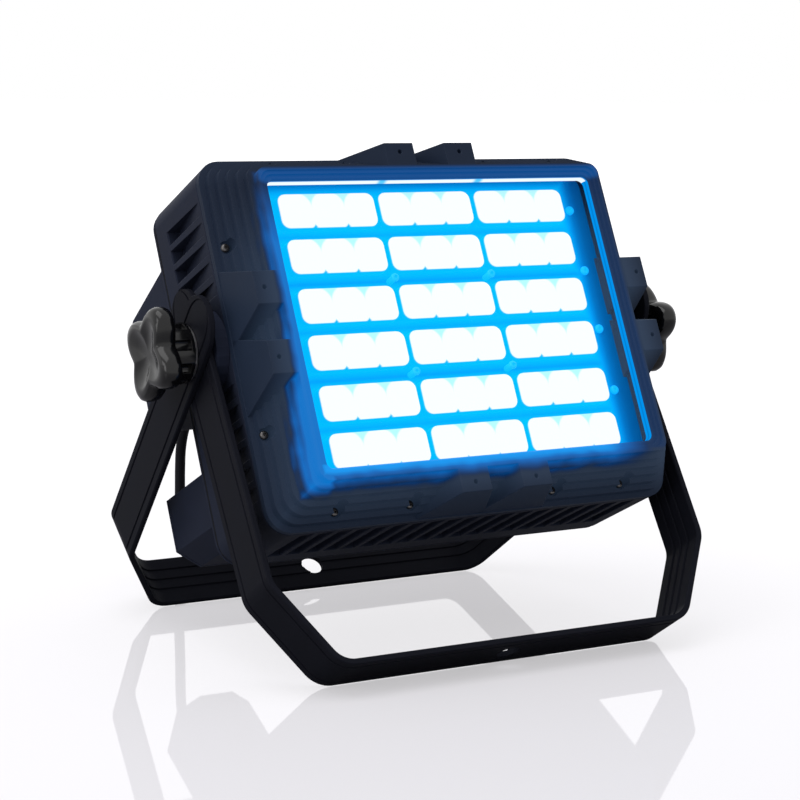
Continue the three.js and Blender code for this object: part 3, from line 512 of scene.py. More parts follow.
def add_cylinder(bm, radius, start, end, place, sides=32, axis="Y"):
    """A closed cylinder along an axis of the piece, from start to end, at place across it."""
    turn = {"Y": Matrix.Rotation(-math.pi / 2, 4, "X"), "X": Matrix.Rotation(math.pi / 2, 4, "Y"),
            "Z": Matrix.Identity(4)}[axis]
    middle = (start + end) / 2
    centre = {"Y": (place[0], middle, place[1]), "X": (middle, place[0], place[1]),
              "Z": (place[0], place[1], middle)}[axis]
    made = bmesh.ops.create_cone(
        bm, cap_ends=True, cap_tris=False, segments=sides, radius1=radius, radius2=radius, depth=end - start,
        matrix=Matrix.Translation(centre) @ turn)
    return made["verts"]


def add_block(bm, low, high):
    size = [high[axis] - low[axis] for axis in range(3)]
    middle = [(high[axis] + low[axis]) / 2 for axis in range(3)]
    matrix = Matrix.Translation(middle) @ Matrix.Diagonal((*size, 1))
    return bmesh.ops.create_cube(bm, size=1, matrix=matrix)["verts"]


def verts_among(items):
    return [item for item in items if isinstance(item, bmesh.types.BMVert)]


def add_prism(bm, points, way):
    """A closed solid: the face through the points, drawn out along way."""
    face = bm.faces.new([bm.verts.new(point) for point in points])
    grown = bmesh.ops.extrude_face_region(bm, geom=[face])
    bmesh.ops.translate(bm, vec=way, verts=verts_among(grown["geom"]))


def rounded_ring(bm, half, radius, depth, steps=8):
    """A closed ring of edges: a rectangle with round corners, standing across y."""
    upright = Matrix.Translation((0, depth, 0)) @ Matrix.Rotation(math.pi / 2, 4, "X")
    made = bmesh.ops.create_grid(bm, x_segments=1, y_segments=1, size=1, matrix=upright)
    bmesh.ops.scale(bm, vec=(half[0], 1, half[1]), verts=made["verts"])
    rounded = bmesh.ops.bevel(
        bm, geom=made["verts"], offset=radius, offset_type="OFFSET", segments=steps, profile=0.5,
        affect="VERTICES", material=-1)
    face = rounded["faces"][0] if rounded["faces"] else bm.faces[:][-1]
    ring = [edge for edge in bm.edges if any(vert in face.verts for vert in edge.verts)]
    bmesh.ops.delete(bm, geom=[face], context="FACES_ONLY")
    return ring


def next_ring(bm, ring, before, after):
    """Extrudes the ring from one station (half, radius, depth) to the next."""
    grown = bmesh.ops.extrude_edge_only(bm, edges=ring)
    verts = verts_among(grown["geom"])
    for vert in verts:
        for axis, index in ((0, 0), (2, 1)):
            sign = math.copysign(1, vert.co[axis])
            from_corner = vert.co[axis] - sign * (before[0][index] - before[1])
            vert.co[axis] = sign * (after[0][index] - after[1]) + from_corner * after[1] / before[1]
        vert.co.y = after[2]
    return [item for item in grown["geom"] if isinstance(item, bmesh.types.BMEdge)
            and item.verts[0] in verts and item.verts[1] in verts and len(item.link_faces) == 1]


def swept_rings(bm, stations, closed=True, steps=8):
    """A skin over rounded rectangles; closed joins the last to the first, otherwise the ends are capped."""
    first = ring = rounded_ring(bm, stations[0][0], stations[0][1], stations[0][2], steps)
    for before, after in zip(stations, stations[1:]):
        ring = next_ring(bm, ring, before, after)
    if closed:
        bmesh.ops.bridge_loops(bm, edges=first + ring)
    else:
        for end in (first, ring):
            bmesh.ops.contextual_create(bm, geom=end)


def add_pad(bm, stations, place, steps):
    """A capped skin over rounded rectangles, moved to place (x, z)."""
    before = set(bm.verts)
    swept_rings(bm, stations, closed=False, steps=steps)
    verts = [vert for vert in bm.verts if vert not in before]
    bmesh.ops.translate(bm, vec=(place[0], 0, place[1]), verts=verts)


# Front bezel: terraces down the slope, stepped rim, window wall and the rebate behind it
def bezel_stations():
    stations = [(HEAD_HALF, HEAD_CORNER, BEZEL_DEPTH), (HEAD_HALF, HEAD_CORNER, SLOPE_DEPTH)]
    for step in range(TERRACES, 0, -1):
        share = (step - 1) / TERRACES
        half = tuple(RIM_HALF[i] + (HEAD_HALF[i] - RIM_HALF[i]) * share for i in (0, 1))
        corner = RIM_CORNER + (HEAD_CORNER - RIM_CORNER) * share
        stations.append((half, corner, SLOPE_DEPTH * step / TERRACES - TERRACE_ROUND))
        stations.append((half, corner, SLOPE_DEPTH * share))
    for inset, depth in RIM_STEPS:
        half = tuple(RIM_HALF[i] - inset for i in (0, 1))
        stations.append((half, RIM_CORNER - inset * 0.3, depth))
    inner = tuple(value - 0.5 for value in WINDOW_HALF)
    stations += [
        (WINDOW_HALF, WINDOW_CORNER, WALL_FRONT), (WINDOW_HALF, WINDOW_CORNER, WALL_FRONT + 2.7),
        (inner, WINDOW_CORNER, WALL_FRONT + 3.2), (inner, WINDOW_CORNER, LIP_DEPTH),
        (REBATE_HALF, REBATE_CORNER, LIP_DEPTH), (REBATE_HALF, REBATE_CORNER, BEZEL_DEPTH),
    ]
    return stations


SCREW_PLACES = [(sign * 151.6, row * 65) for sign in (-1, 1) for row in (-1, 0, 1)]
SCREW_PLACES += [(column * 56.6, sign * 120.3) for sign in (-1, 1) for column in (-2, -1, 1, 2)]


def bezel():
    bm = bmesh.new()
    swept_rings(bm, bezel_stations())
    bores = bmesh.new()
    for x, z in SCREW_PLACES:
        add_cylinder(bores, BORE_RADIUS, -5, BORE_FLOOR, (x, z), 24)
    bm = carved(bm, bores)
    for face in bm.faces:
        middle = face.calc_center_median()
        at_window = abs(middle.x) < WINDOW_HALF[0] + 0.5 and abs(middle.z) < WINDOW_HALF[1] + 0.5
        face.material_index = 1 if at_window and WALL_FRONT + 0.1 < middle.y < LIP_DEPTH + 0.5 else 0
    piece = object_from("front_bezel_moulding", bm, BEZEL, HEAD, "head", 28, 0.35, 2)
    piece.data.materials.append(WALL)
    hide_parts("front_bezel")


def bezel_lugs():
    """Eight drilled lugs, two on each side, flared towards the slope."""
    bm = bmesh.new()
    for quarter in range(4):
        axis = 1 if quarter % 2 == 0 else 0
        outer = LUG_OUTER[axis]
        for side in (-1, 1):
            across = side * LUG_ACROSS
            lug = bmesh.new()
            low = (across - LUG_WIDTH / 2, 0.02, RIM_HALF[axis] - 2)
            high = (across + LUG_WIDTH / 2, SLOPE_DEPTH, outer)
            for vert in add_block(lug, low, high):
                if vert.co.y > 20:
                    vert.co.x += LUG_FLARE * math.copysign(1, vert.co.x - across)
                    if vert.co.z > RIM_HALF[axis]:
                        vert.co.z = HEAD_HALF[axis] - 0.5
            hole = bmesh.new()
            add_cylinder(hole, LUG_HOLE, -3, 8, (across, outer - LUG_HOLE_INSET), 20)
            lug = carved(lug, hole)
            bmesh.ops.transform(lug, matrix=Matrix.Rotation(quarter * math.pi / 2, 4, "Y"), verts=lug.verts)
            add_piece(bm, lug)
    object_from("bezel_lugs", bm, BEZEL, HEAD, "head", 28, 0.5, 3)


def screw_head(bm, place, depth, radius, turn):
    """A button head with a six-sided socket, standing on depth and facing the front."""
    x, z = place
    head = bmesh.new()
    add_cylinder(head, radius, 0, radius * 0.7, (0, 0), 24)
    top = [edge for edge in head.edges if all(vert.co.y > 0.01 for vert in edge.verts)]
    bmesh.ops.bevel(
        head, geom=top, offset=radius * 0.4, segments=3, profile=0.5, affect="EDGES", material=-1)
    socket = bmesh.new()
    add_cylinder(socket, radius * 0.46, radius * 0.25, radius, (0, 0), 6)
    head = carved(head, socket)
    to_front = Matrix.Scale(-1, 4, (0, 1, 0))
    matrix = Matrix.Translation((x, depth, z)) @ Matrix.Rotation(turn, 4, "Y") @ to_front
    bmesh.ops.transform(head, matrix=matrix, verts=head.verts)
    add_piece(bm, head)


def screws(name, places, depth, radius, material):
    """Screw heads in one piece, each turned a little further than the one before."""
    bm = bmesh.new()
    for index, place in enumerate(places):
        screw_head(bm, place, depth, radius, 0.7 + index * 1.3)
    object_from(name, bm, material, HEAD, "head", 40)


# Lit optics
BLOCKS = [
    (column * COLUMN_PITCH, board * BOARD_PITCH + row * ROW_PITCH)
    for board in (-1, 0, 1) for row in (-0.5, 0.5) for column in (-1, 0, 1)
]
BOARDS = ("bottom", "middle", "top")
BLOCK_STATIONS = [
    ((37.5, 12.6), 6.0, 27.0), ((37.2, 12.4), 6.0, 23.5), ((36.5, 12.1), 5.6, 20.4),
    ((35.8, 11.6), 5.0, 19.7), ((34.6, 10.6), 4.2, 19.5),
]
DOME_RADIUS = 11.4
DOME_DEPTH = 20.5
POST_TOP = 19.3
POST_RADIUS = 2.3
POST_SCREWS = [(x, z) for x in (-38.5, 38.5) for z in (-33.6, 33.6)]
EDGE_SCREWS = [(x, z) for x in (-123.2, 123.2) for z in (82.3, 35.9, -8.5, -54.4)]


def lens_blocks():
    """Eighteen pads, each with three shallow domes."""
    bm = bmesh.new()
    for x, z in BLOCKS:
        add_pad(bm, BLOCK_STATIONS, (x, z), 5)
        for lens in (-1, 0, 1):
            dome = bmesh.ops.create_uvsphere(bm, u_segments=24, v_segments=12, radius=DOME_RADIUS)["verts"]
            bmesh.ops.scale(bm, vec=(1, 0.1, 1), verts=dome)
            bmesh.ops.translate(bm, vec=(x + lens * LENS_PITCH * 0.97, DOME_DEPTH, z), verts=dome)
    piece = object_from("lens_block_set", bm, LENS, HEAD, "head", 40)
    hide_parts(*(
        f"lens_block_{board}_{row}_{column}" for board in BOARDS for row in (1, 2) for column in (1, 2, 3)))


def plate_posts():
    """Four screws on short posts between the lens boards."""
    screws("post_screws", POST_SCREWS, POST_TOP, 2.9, LIT_SCREW)
    bm = bmesh.new()
    for place in POST_SCREWS:
        add_cylinder(bm, POST_RADIUS, POST_TOP, PLATE_FRONT + 0.5, place, 24)
    object_from("plate_posts", bm, LIT_SCREW, HEAD, "head", 35, 0.3, 2)


def inner_plate():
    bm = bmesh.new()
    half = tuple(value - 0.3 for value in REBATE_HALF)
    stations = [(half, REBATE_CORNER, PLATE_FRONT), (half, REBATE_CORNER, PLATE_FRONT + 2)]
    swept_rings(bm, stations, closed=False)
    piece = object_from("lit_inner_plate", bm, PLATE, HEAD, "head", 40)
    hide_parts("lens_plate")


# Ribbed casting behind the bezel
FIN_SCREWS = [(0, -124.5), (-4 * RIB_PITCH, -124.5), (4 * RIB_PITCH, -124.5), (-152.5, 3 * RIB_PITCH)]
CASTING_WALL = 12.5
SLOT_HALF = 4.7
SLOT_FRONT = 48.5
SLOT_DEEP = 9.5
SLOT_MARGIN = 9
PIVOT_PAD_HALF = 32.5


def casting():
    """A ring with slanted slots on its four sides, left whole round the pivots."""
    bm = bmesh.new()
    inner = tuple(value - CASTING_WALL for value in HEAD_HALF)
    corner = HEAD_CORNER - CASTING_WALL
    front, back = CASTING
    swept_rings(bm, [
        (inner, corner, back), (HEAD_HALF, HEAD_CORNER, back),
        (HEAD_HALF, HEAD_CORNER, front), (inner, corner, front),
    ])
    slots = bmesh.new()
    for quarter in range(4):
        on_side = quarter % 2 == 1
        along = HEAD_HALF[1] if on_side else HEAD_HALF[0]
        out = HEAD_HALF[0] if on_side else HEAD_HALF[1]
        turn = Matrix.Rotation(quarter * math.pi / 2, 4, "Y")
        count = int((along - HEAD_CORNER - SLOT_MARGIN) // RIB_PITCH)
        for index in range(-count, count + 1):
            place = index * RIB_PITCH
            height = -place if quarter == 1 else place
            if on_side and abs(height - PIVOT_ABOVE_AXIS) < PIVOT_PAD_HALF:
                continue
            low = (place - SLOT_HALF, SLOT_FRONT, out - SLOT_DEEP)
            verts = add_block(slots, low, (place + SLOT_HALF, back - FLANGE, out + 3))
            for vert in verts:
                if vert.co.y < 60 and vert.co.z < out:
                    vert.co.z = out + 0.01
            bmesh.ops.transform(slots, matrix=turn, verts=verts)
    bm = carved(bm, slots)
    piece = object_from("ribbed_casting", bm, CAST, HEAD, "head", 28, 0.7, 2)
    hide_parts("heatsink_casting")


# Rear casing, junction boxes and what stands on the back
CASING_SECTION = [(REAR_PLATE[1] - 2, 88), (CASING_BACK, 72), (CASING_BACK, -12), (REAR_PLATE[1] - 2, -12)]
GROOVES = 9
GROOVE_FRONT = 134
GROOVE_PITCH = 6.2
GROOVE_WIDTH = 2.6
BOX_SECTION = [(28.5, -62), (-28.5, -62), (-28.5, -99.6), (-12.5, -112), (12.5, -112), (28.5, -99.6)]
BOX_BACK = 195.3
LID_SEAM = (191.8, 192.5)


def rear_casing():
    """The driver casing across the back, with cooling grooves at both ends, on its flat plate."""
    bm = bmesh.new()
    add_prism(bm, [(-CASING_HALF, y, z) for y, z in CASING_SECTION], (2 * CASING_HALF, 0, 0))
    back_edges = [edge for edge in bm.edges if all(vert.co.y > 190 for vert in edge.verts)
                  and abs(edge.verts[0].co.x - edge.verts[1].co.x) > 10]
    bmesh.ops.bevel(
        bm, geom=back_edges, offset=5, offset_type="OFFSET", segments=4, profile=0.5,
        affect="EDGES", material=-1)
    grooves = bmesh.new()
    for side in (-1, 1):
        for index in range(GROOVES):
            y = GROOVE_FRONT + index * GROOVE_PITCH
            low = (side * CASING_HALF - 2, y, -2)
            add_block(grooves, low, (side * CASING_HALF + 2, y + GROOVE_WIDTH, 60))
    bm = carved(bm, grooves)
    half = tuple(value - 0.3 for value in HEAD_HALF)
    swept_rings(bm, [
        (half, HEAD_CORNER, REAR_PLATE[0]), (half, HEAD_CORNER, REAR_PLATE[1] - 0.8),
        ((half[0] - 0.8, half[1] - 0.8), HEAD_CORNER - 0.8, REAR_PLATE[1]),
    ], closed=False)
    piece = object_from("rear_casing_shell", bm, CAST, HEAD, "head", 28, 0.6, 2)
    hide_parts("rear_casing")


def junction_box(side):
    """A chamfered box under the casing, with a seam round its lid."""
    bm = bmesh.new()
    x = side * BOX_MIDDLE
    front = REAR_PLATE[1] + 0.3
    add_prism(bm, [(x + px, front, pz) for px, pz in BOX_SECTION], (0, BOX_BACK - front, 0))
    seam = bmesh.new()
    add_block(seam, (x - 40, LID_SEAM[0], -120), (x + 40, LID_SEAM[1], -55))
    bmesh.ops.recalc_face_normals(bm, faces=bm.faces)
    core = bm.copy()
    about_middle = Matrix.Translation((-x, -161, 87))
    bmesh.ops.scale(core, vec=(0.965, 1.2, 0.965), space=about_middle, verts=core.verts)
    bm = carved(bm, carved(seam, core))
    label = SIDE_NAMES[side]
    piece = object_from(f"lower_box_{label}", bm, CAST, HEAD, "head", 28, 1.2, 3)
    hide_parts(f"junction_box_{label}", f"junction_lid_{label}")


def control_panel():
    """A framed panel with a display and four keys."""
    bm = bmesh.new()
    add_pad(bm, [
        ((45, 16.8), 5, SEAT), ((45, 16.8), 5, SEAT + 2.4), ((44.2, 16), 4.2, SEAT + 3),
        ((41, 13), 3.4, SEAT + 3), ((40.6, 12.6), 3.2, SEAT + 2.2),
    ], (0, PANEL_HEIGHT), 5)
    piece = object_from("control_panel_frame", bm, MOULDING, HEAD, "head", 28, 0.2, 2)
    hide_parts("control_panel")
    bm = bmesh.new()
    add_pad(bm, [((19, 9.5), 2, SEAT + 2), ((19, 9.5), 2, SEAT + 2.7)], (-18, PANEL_HEIGHT), 4)
    object_from("display_pane", bm, DISPLAY, HEAD, "head", 28, 0.15, 2)
    bm = bmesh.new()
    key = [((5, 3.6), 1.6, SEAT + 2), ((5, 3.6), 1.6, SEAT + 3.4), ((4.4, 3), 1.4, SEAT + 3.9)]
    for column in (0, 1):
        for row in (0, 1):
            add_pad(bm, key, (13 + column * 15, PANEL_HEIGHT - 4.7 + row * 9.4), 4)
    object_from("panel_buttons", bm, RUBBER, HEAD, "head", 30)


def turned(name, profile, place, material, node, sides=48, bevel=0.5, matrix=HEAD, body="head"):
    """A turned piece: profile of (radius, depth) spun round its own axis, standing at place."""
    bm = bmesh.new()
    verts = [bm.verts.new((radius, depth, 0)) for radius, depth in profile]
    edges = [bm.edges.new(pair) for pair in zip(verts, verts[1:])]
    bmesh.ops.spin(
        bm, geom=verts + edges, cent=(0, 0, 0), axis=(0, 1, 0), angle=2 * math.pi, steps=sides,
        use_merge=True)
    bmesh.ops.remove_doubles(bm, verts=bm.verts, dist=0.001)
    bmesh.ops.translate(bm, vec=(place[0], 0, place[1]), verts=bm.verts)
    piece = object_from(name, bm, material, matrix, body, 30, bevel, 2)
    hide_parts(node)
    return piece


def back_fittings():
    """Two data sockets, the vent, and the gland with its ribbed sleeve."""
    for node, x in zip(("data_socket_in", "data_socket_out"), SOCKETS):
        turned(f"{node}_shell", [
            (0, SEAT), (16, SEAT), (16, SEAT + 2.4), (15.4, SEAT + 3), (13.5, SEAT + 3),
            (13.5, SEAT + 7), (12.9, SEAT + 7.6), (12.9, SEAT + 8.6), (13.5, SEAT + 9.2),
            (13.5, SEAT + 19.4), (12.9, SEAT + 20), (10.5, SEAT + 20), (10, SEAT + 14), (0, SEAT + 14),
        ], (x, SOCKET_HEIGHT), MOULDING, node)
    vent = [(0, SEAT), (8, SEAT), (8, SEAT + 4), (6.6, SEAT + 7), (0, SEAT + 7)]
    turned("vent_cap", vent, VENT, MOULDING, "vent_plug", 24)
    end = SEAT + 28
    turned("cable_gland_nut", [
        (0, SEAT), (12, SEAT), (12, SEAT + 6), (11.2, SEAT + 6.6), (10.4, SEAT + 6.6), (10.4, SEAT + 20),
        (9.2, SEAT + 25), (8, end), (0, end),
    ], GLAND, MOULDING, "cable_gland", 32)
    profile = [(0, end + 0.3), (6.5, end + 0.3)]
    for step in range(7):
        y = end + 1.5 + step * 4
        radius = 6.5 - 1.5 * step / 7
        profile += [(radius, y), (radius, y + 2.2), (radius - 0.9, y + 2.6), (radius - 0.9, y + 3.6)]
    profile += [(5, end + 30.3), (0, end + 30.3)]
    turned("cable_sleeve_ribbed", profile, GLAND, RUBBER, "cable_sleeve", 32, 0.2)


# Yokes: one strip section run round the bends
EDGE_ROUND = 0.7
GROOVE_DEEP = 0.9
OUTER_GROOVES = (-14.55, 14.55)
INNER_CHANNELS = (9, 0, -9)


def strip_section(bm, half):
    """The strip's section at the top of the left arm: grooves outside, wide channels inside."""
    edge = STRIP_WIDTH / 2
    thick = STRIP_THICKNESS
    points = [(EDGE_ROUND, -edge), (0, EDGE_ROUND - edge)]
    for z in OUTER_GROOVES:
        points += [(0, z - 1.05), (GROOVE_DEEP, z - 0.65), (GROOVE_DEEP, z + 0.65), (0, z + 1.05)]
    points += [(0, edge - EDGE_ROUND), (EDGE_ROUND, edge)]
    points += [(thick - EDGE_ROUND, edge), (thick, edge - EDGE_ROUND)]
    floor = thick - GROOVE_DEEP
    for z in INNER_CHANNELS:
        points += [(thick, z + 1.9), (floor, z + 1.5), (floor, z - 1.5), (thick, z - 1.9)]
    points += [(thick, EDGE_ROUND - edge), (thick - EDGE_ROUND, -edge)]
    verts = [bm.verts.new((-half + depth, 0, z)) for depth, z in points]
    return [bm.edges.new((verts[i], verts[(i + 1) % len(verts)])) for i in range(len(verts))]


def end_ring(grown):
    verts = set(verts_among(grown))
    return [item for item in grown if isinstance(item, bmesh.types.BMEdge) and set(item.verts) <= verts]


def round_end(bm, ring):
    """Carries the strip's ring up past the pivot and narrows it to a round end."""
    before = 1.0
    for step in range(9):
        angle = step / 8 * math.radians(84)
        width = math.cos(angle)
        grown = bmesh.ops.extrude_edge_only(bm, edges=ring)["geom"]
        for vert in verts_among(grown):
            vert.co.z *= width / before
            vert.co.y = ARM_END + STRIP_WIDTH / 2 * math.sin(angle)
        before = width
        ring = end_ring(grown)
    bmesh.ops.contextual_create(bm, geom=ring)


def yoke(name, reach, half, rise, lean, body, node):
    """Two arms, two slanted corners and a bar, in one bent strip with stud holes and a clamp hole."""
    bm = bmesh.new()
    first = ring = strip_section(bm, half)
    chamfer = math.hypot(CORNER_INSET, rise)
    turn_low = math.atan2(CORNER_INSET, rise)
    turns = (turn_low, math.pi / 2 - turn_low, math.pi / 2 - turn_low, turn_low)
    takes = [0] + [BEND_RADIUS * math.tan(turn / 2) for turn in turns] + [0]
    lengths = [reach - rise, chamfer, 2 * (half - CORNER_INSET), chamfer, reach - rise]
    place, heading = Vector((-half, 0, 0)), -math.pi / 2
    for index, length in enumerate(lengths):
        way = Vector((math.cos(heading), math.sin(heading), 0)) * (length - takes[index] - takes[index + 1])
        grown = bmesh.ops.extrude_edge_only(bm, edges=ring)["geom"]
        bmesh.ops.translate(bm, vec=way, verts=verts_among(grown))
        ring = end_ring(grown)
        place = place + way
        if index < len(turns):
            centre = place + Vector((-math.sin(heading), math.cos(heading), 0)) * BEND_RADIUS
            grown = bmesh.ops.spin(
                bm, geom=ring, cent=centre, axis=(0, 0, 1), angle=turns[index], steps=8,
                use_duplicate=False)
            ring = end_ring(grown["geom_last"])
            heading += turns[index]
            place = centre + Vector((math.sin(heading), -math.cos(heading), 0)) * BEND_RADIUS
    for end in (first, ring):
        round_end(bm, end)
    holes = bmesh.new()
    add_cylinder(holes, STUD_HOLE, -half - 5, half + 5, (0, 0), 40, "X")
    add_cylinder(holes, CLAMP_HOLE, -reach - 5, -reach + 10, (0, 0), 48)
    bm = carved(bm, holes)
    piece = object_from(name, bm, STRIP, arm_frame(lean), body, 28, 0.35, 2)
    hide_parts(node)


# Star knobs, along x from the middle of the lamp; profile of (share of the radius, x past the star's seat)
KNOB_START = 178.7
KNOB_STAR = 191.7
KNOB_TURN = math.radians(68)
KNOB_WAIST = 22.0
KNOB_TIP = 34.0
KNOB_PROFILE = [
    (0.80, 0.0), (0.90, 0.7), (0.965, 2.4), (1.0, 5.2), (1.0, 9.8), (0.965, 12.6), (0.9, 14.3),
    (0.8, 15.0), (0.7, 14.8), (0.5, 13.0), (0.3, 12.0), (0.1, 11.7),
]
BOSS_RADIUS = 20.5
FLUTES = 8
FLUTE_RADIUS = 4.0


def knob_star(bm):
    """Four rounded lobes with a dished face."""
    upright = Matrix.Rotation(math.pi / 2, 4, "Y")
    circle = bmesh.ops.create_circle(bm, cap_ends=False, segments=112, radius=1, matrix=upright)["verts"]
    first = ring = list(bm.edges)
    for vert in circle:
        angle = math.atan2(vert.co.z, vert.co.y)
        lobe = ((1 + math.cos(4 * (angle - KNOB_TURN))) / 2) ** 0.8
        radius = (KNOB_WAIST + (KNOB_TIP - KNOB_WAIST) * lobe) * KNOB_PROFILE[0][0]
        vert.co = (KNOB_STAR, radius * math.cos(angle), radius * math.sin(angle))
    for (before, _), (after, out) in zip(KNOB_PROFILE, KNOB_PROFILE[1:]):
        grown = bmesh.ops.extrude_edge_only(bm, edges=ring)["geom"]
        for vert in verts_among(grown):
            vert.co.y *= after / before
            vert.co.z *= after / before
            vert.co.x = KNOB_STAR + out
        ring = end_ring(grown)
    for end in (first, ring):
        bmesh.ops.contextual_create(bm, geom=end)


def knob(side):
    """A star on a fluted boss, bored for the stud."""
    bm = bmesh.new()
    knob_star(bm)
    boss = bmesh.new()
    add_cylinder(boss, BOSS_RADIUS, KNOB_START, KNOB_STAR + 3, (0, 0), 64, "X")
    flutes = bmesh.new()
    for index in range(FLUTES):
        angle = (index + 0.5) / FLUTES * 2 * math.pi
        place = ((BOSS_RADIUS + 1) * math.cos(angle), (BOSS_RADIUS + 1) * math.sin(angle))
        add_cylinder(flutes, FLUTE_RADIUS, KNOB_START + 2.4, KNOB_STAR + 6, place, 20, "X")
    add_piece(bm, carved(boss, flutes))
    bore = bmesh.new()
    add_cylinder(bore, STUD_HOLE, KNOB_START - 2, KNOB_STAR + 0.2, (0, 0), 32, "X")
    bm = carved(bm, bore)
    if side < 0:
        bmesh.ops.rotate(bm, matrix=Matrix.Rotation(math.pi, 3, "Z"), verts=bm.verts)
    label = SIDE_NAMES[side]
    matrix = Matrix.Translation(PIVOT) @ Matrix.Scale(MM, 4)
    piece = object_from(f"star_knob_{label}", bm, KNOB, matrix, f"knob_{label}", 30, 0.3, 2)
    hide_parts(f"knob_{label}")


# Mains cord: the same route as the drawing, in metres
LEAD_POINTS = [
    (-0.0820, 0.1685, 0.1438), (-0.0820, 0.1830, 0.1341), (-0.0820, 0.1942, 0.1207),
    (-0.0820, 0.2010, 0.1048), (-0.0820, 0.2030, 0.0878), (-0.0820, 0.2034, 0.0707),
    (-0.0818, 0.2047, 0.0536), (-0.0799, 0.2099, 0.0379), (-0.0749, 0.2187, 0.0245),
    (-0.0663, 0.2292, 0.0146), (-0.0543, 0.2392, 0.0084), (-0.0398, 0.2477, 0.0052),
    (-0.0240, 0.2540, 0.0043), (0.0060, 0.2632, 0.0043), (0.0360, 0.2705, 0.0043),
    (0.0660, 0.2755, 0.0043), (0.0887, 0.2780, 0.0043), (0.0967, 0.2780, 0.0043),
]
CORD_DIAMETER = 0.008
FLOOR_GAP = 0.0003
COIL_CENTRE = (0.105, 0.330)
COIL_RADIUS = 0.052
COIL_PITCH = 0.0096
COIL_RISE = 0.0092
COIL_TURNS = (2, 0.5, 1.5)
COIL_START = math.radians(270)
COIL_STEPS = 24
TAIL = 0.044
PLUG_AXIS = 0.0178


def winding_points():
    """The winding spirals in on the floor, climbs, spirals out on top, and its tail leads to the plug."""
    inward, climbing = COIL_TURNS[:2]
    points = []
    for step in range(int(sum(COIL_TURNS) * COIL_STEPS) + 1):
        turn = step / COIL_STEPS
        back_out = max(turn - inward - climbing, 0)
        radius = COIL_RADIUS - COIL_PITCH * (min(turn, inward) - back_out)
        angle = COIL_START + turn * 2 * math.pi
        climbed = min(max((turn - inward) / climbing, 0), 1)
        points.append(Vector((
            COIL_CENTRE[0] + radius * math.cos(angle),
            COIL_CENTRE[1] + radius * math.sin(angle),
            CORD_DIAMETER / 2 + FLOOR_GAP + COIL_RISE * climbed,
        )))
    last = points[-1].copy()
    way = Vector((COIL_CENTRE[1] - last.y, last.x - COIL_CENTRE[0], 0)).normalized()
    rise = PLUG_AXIS - last.z
    for step in range(1, 5):
        points.append(last + way * TAIL * step / 4 + Vector((0, 0, rise * min(step / 3, 1))))
    return points, way


def cord():
    """The lead falls from the sleeve, runs over the floor and ends in a flat winding with its plug."""
    start = HEAD @ Vector((GLAND[0], SEAT + SLEEVE_END, GLAND[1]))
    winding, plug_way = winding_points()
    points = [start] + [Vector(point) for point in LEAD_POINTS] + winding
    data = bpy.data.curves.new("mains_lead", "CURVE")
    data.dimensions = "3D"
    data.bevel_depth = CORD_DIAMETER / 2
    data.bevel_resolution = 5
    data.resolution_u = 6
    data.use_fill_caps = True
    spline = data.splines.new("BEZIER")
    spline.bezier_points.add(len(points) - 1)
    for place, knot in zip(points, spline.bezier_points):
        knot.co = place
        knot.handle_left_type = knot.handle_right_type = "AUTO"
    lead = linked("mains_lead", data)
    data.materials.append(JACKET)
    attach(lead, "front_yoke")
    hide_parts("mains_cord", "mains_cord_coil")
    plug = mains_plug(winding[-1] + plug_way * 0.0003, plug_way)


def mains_plug(place, way):
    """A round moulded plug: a ribbed neck, a collar with grip grooves and a plain body."""
    profile = [(0, 0), (5.4, 0)]
    for step in range(4):
        y = 1.5 + step * 4.4
        ridge = 5.6 + step * 0.35
        valley = 4.8 + step * 0.35
        profile += [(ridge, y), (ridge, y + 2.4), (valley, y + 2.9), (valley, y + 3.9)]
    profile += [(7, 20), (15.5, 20), (17.5, 22), (17.5, 29), (16.2, 31), (14.5, 31), (14.5, 62), (13, 64)]
    profile += [(0, 64)]
    turn = Vector((0, 1, 0)).rotation_difference(way).to_matrix().to_4x4()
    matrix = Matrix.Translation(place) @ turn @ Matrix.Scale(MM, 4)
    return turned(
        "mains_plug_body", profile, (0, 0), RUBBER, "mains_plug", 48, 0.3, matrix, "front_yoke")


# Stage
def white_floor():
    """A wide pale glossy floor that glows a little in pictures, so that it stays nearly white in shadow."""
    bm = bmesh.new()
    bmesh.ops.create_grid(bm, x_segments=1, y_segments=1, size=30)
    mesh = bpy.data.meshes.new("floor")
    bm.to_mesh(mesh)
    bm.free()
    floor = linked("floor", mesh)
    finish = Finish("white_acrylic", (0.36, 0.35, 0.37), 0.03)
    finish.set("Specular IOR Level", 0.3)
    path = finish.node("LightPath")
    finish.glow((0.995, 0.98, 1.0), finish.math("MULTIPLY", path.outputs["Is Camera Ray"], 0.5))
    mesh.materials.append(finish.material)


def backdrop(tree, color, strength):
    node = tree.nodes.new("ShaderNodeBackground")
    node.inputs["Color"].default_value = (*color, 1)
    node.inputs["Strength"].default_value = strength
    return node.outputs["Background"]


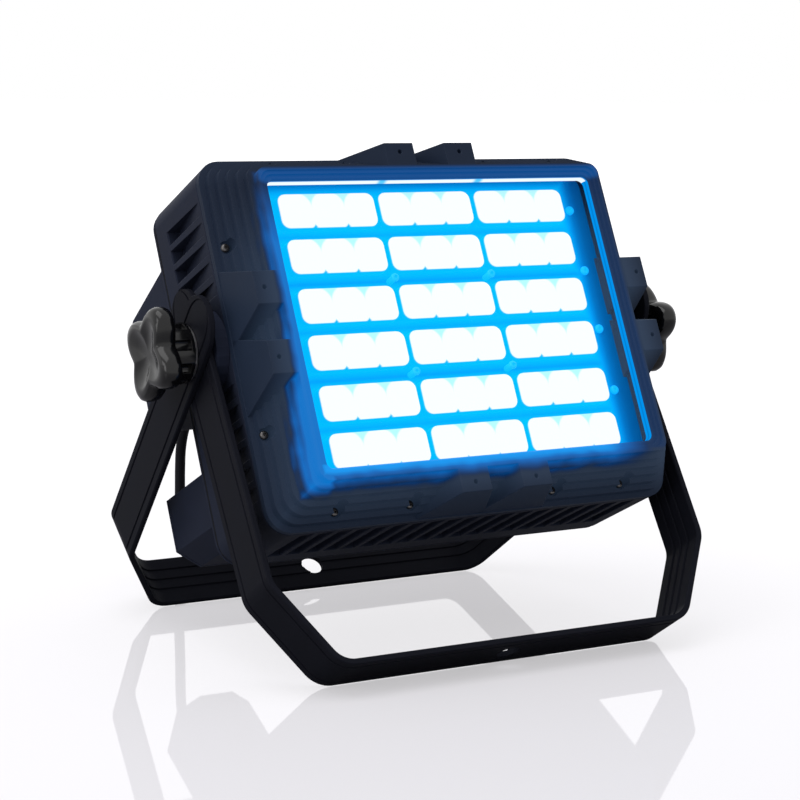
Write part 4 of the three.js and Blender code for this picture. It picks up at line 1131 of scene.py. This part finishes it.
def studio():
    """Soft light from all round; what the camera and reflections see behind the lamp is white."""
    world = bpy.data.worlds.new("studio")
    bpy.context.scene.world = world
    world.use_nodes = True
    tree = world.node_tree
    tree.nodes.clear()
    path = tree.nodes.new("ShaderNodeLightPath")
    seen = path.outputs["Is Camera Ray"]
    for ray in ("Is Glossy Ray", "Is Transmission Ray"):
        either = tree.nodes.new("ShaderNodeMath")
        either.operation = "MAXIMUM"
        tree.links.new(seen, either.inputs[0])
        tree.links.new(path.outputs[ray], either.inputs[1])
        seen = either.outputs["Value"]
    mix = tree.nodes.new("ShaderNodeMixShader")
    tree.links.new(seen, mix.inputs["Fac"])
    tree.links.new(backdrop(tree, (0.95, 0.97, 1.0), 0.75), mix.inputs[1])
    tree.links.new(backdrop(tree, (1, 1, 1), 1.0), mix.inputs[2])
    out = tree.nodes.new("ShaderNodeOutputWorld")
    tree.links.new(mix.outputs["Shader"], out.inputs["Surface"])


def soft_lamp(name, place, target, size, power):
    data = bpy.data.lights.new(name, "AREA")
    data.shape = "RECTANGLE"
    data.size, data.size_y = size
    data.energy = power
    lamp = linked(name, data)
    lamp.location = place
    lamp.rotation_mode = "QUATERNION"
    lamp.rotation_quaternion = (Vector(target) - Vector(place)).to_track_quat("-Z", "Y")


# Everything is made and placed
bpy.context.scene.view_settings.view_transform = "Standard"
studio()
white_floor()
soft_lamp("top_box", (-0.6, -0.2, 1.9), (0, 0, 0.2), (1.6, 1.2), 12)
soft_lamp("left_box", (-1.9, -0.7, 0.9), (0, 0, 0.2), (1.0, 1.4), 10)

cord()
bezel()
bezel_lugs()
screws("bezel_screws", SCREW_PLACES, BORE_FLOOR, 3.0, SCREW)
lens_blocks()
inner_plate()
screws("plate_screws", EDGE_SCREWS, PLATE_FRONT, 3.2, LIT_SCREW)
plate_posts()
casting()
screws("fin_screws", FIN_SCREWS, CASTING[1] - FLANGE, 2.4, SCREW)
rear_casing()
for end_side in SIDE_NAMES:
    junction_box(end_side)
control_panel()
back_fittings()
yoke("front_yoke_strip", *FRONT_YOKE, FRONT_LEAN, "front_yoke", "front_yoke")
yoke("rear_yoke_strip", *REAR_YOKE, rear_lean(), "rear_yoke", "rear_yoke")
for end_side in SIDE_NAMES:
    knob(end_side)

finishes = {
    "window_glass": GLASS, "window_gasket": LIT_RUBBER, "rear_gasket": RUBBER, "led_driver": DRIVER,
    "control_board": BOARD,
}
for end_label in SIDE_NAMES.values():
    finishes[f"pivot_boss_{end_label}"] = CAST
    finishes[f"pivot_stud_{end_label}"] = STEEL
    finishes[f"knob_washer_{end_label}"] = STEEL
for board_label in BOARDS:
    finishes[f"led_board_{board_label}"] = BOARD
for node, material in finishes.items():
    frame["nodes"][node].data.materials.clear()
    frame["nodes"][node].data.materials.append(material)
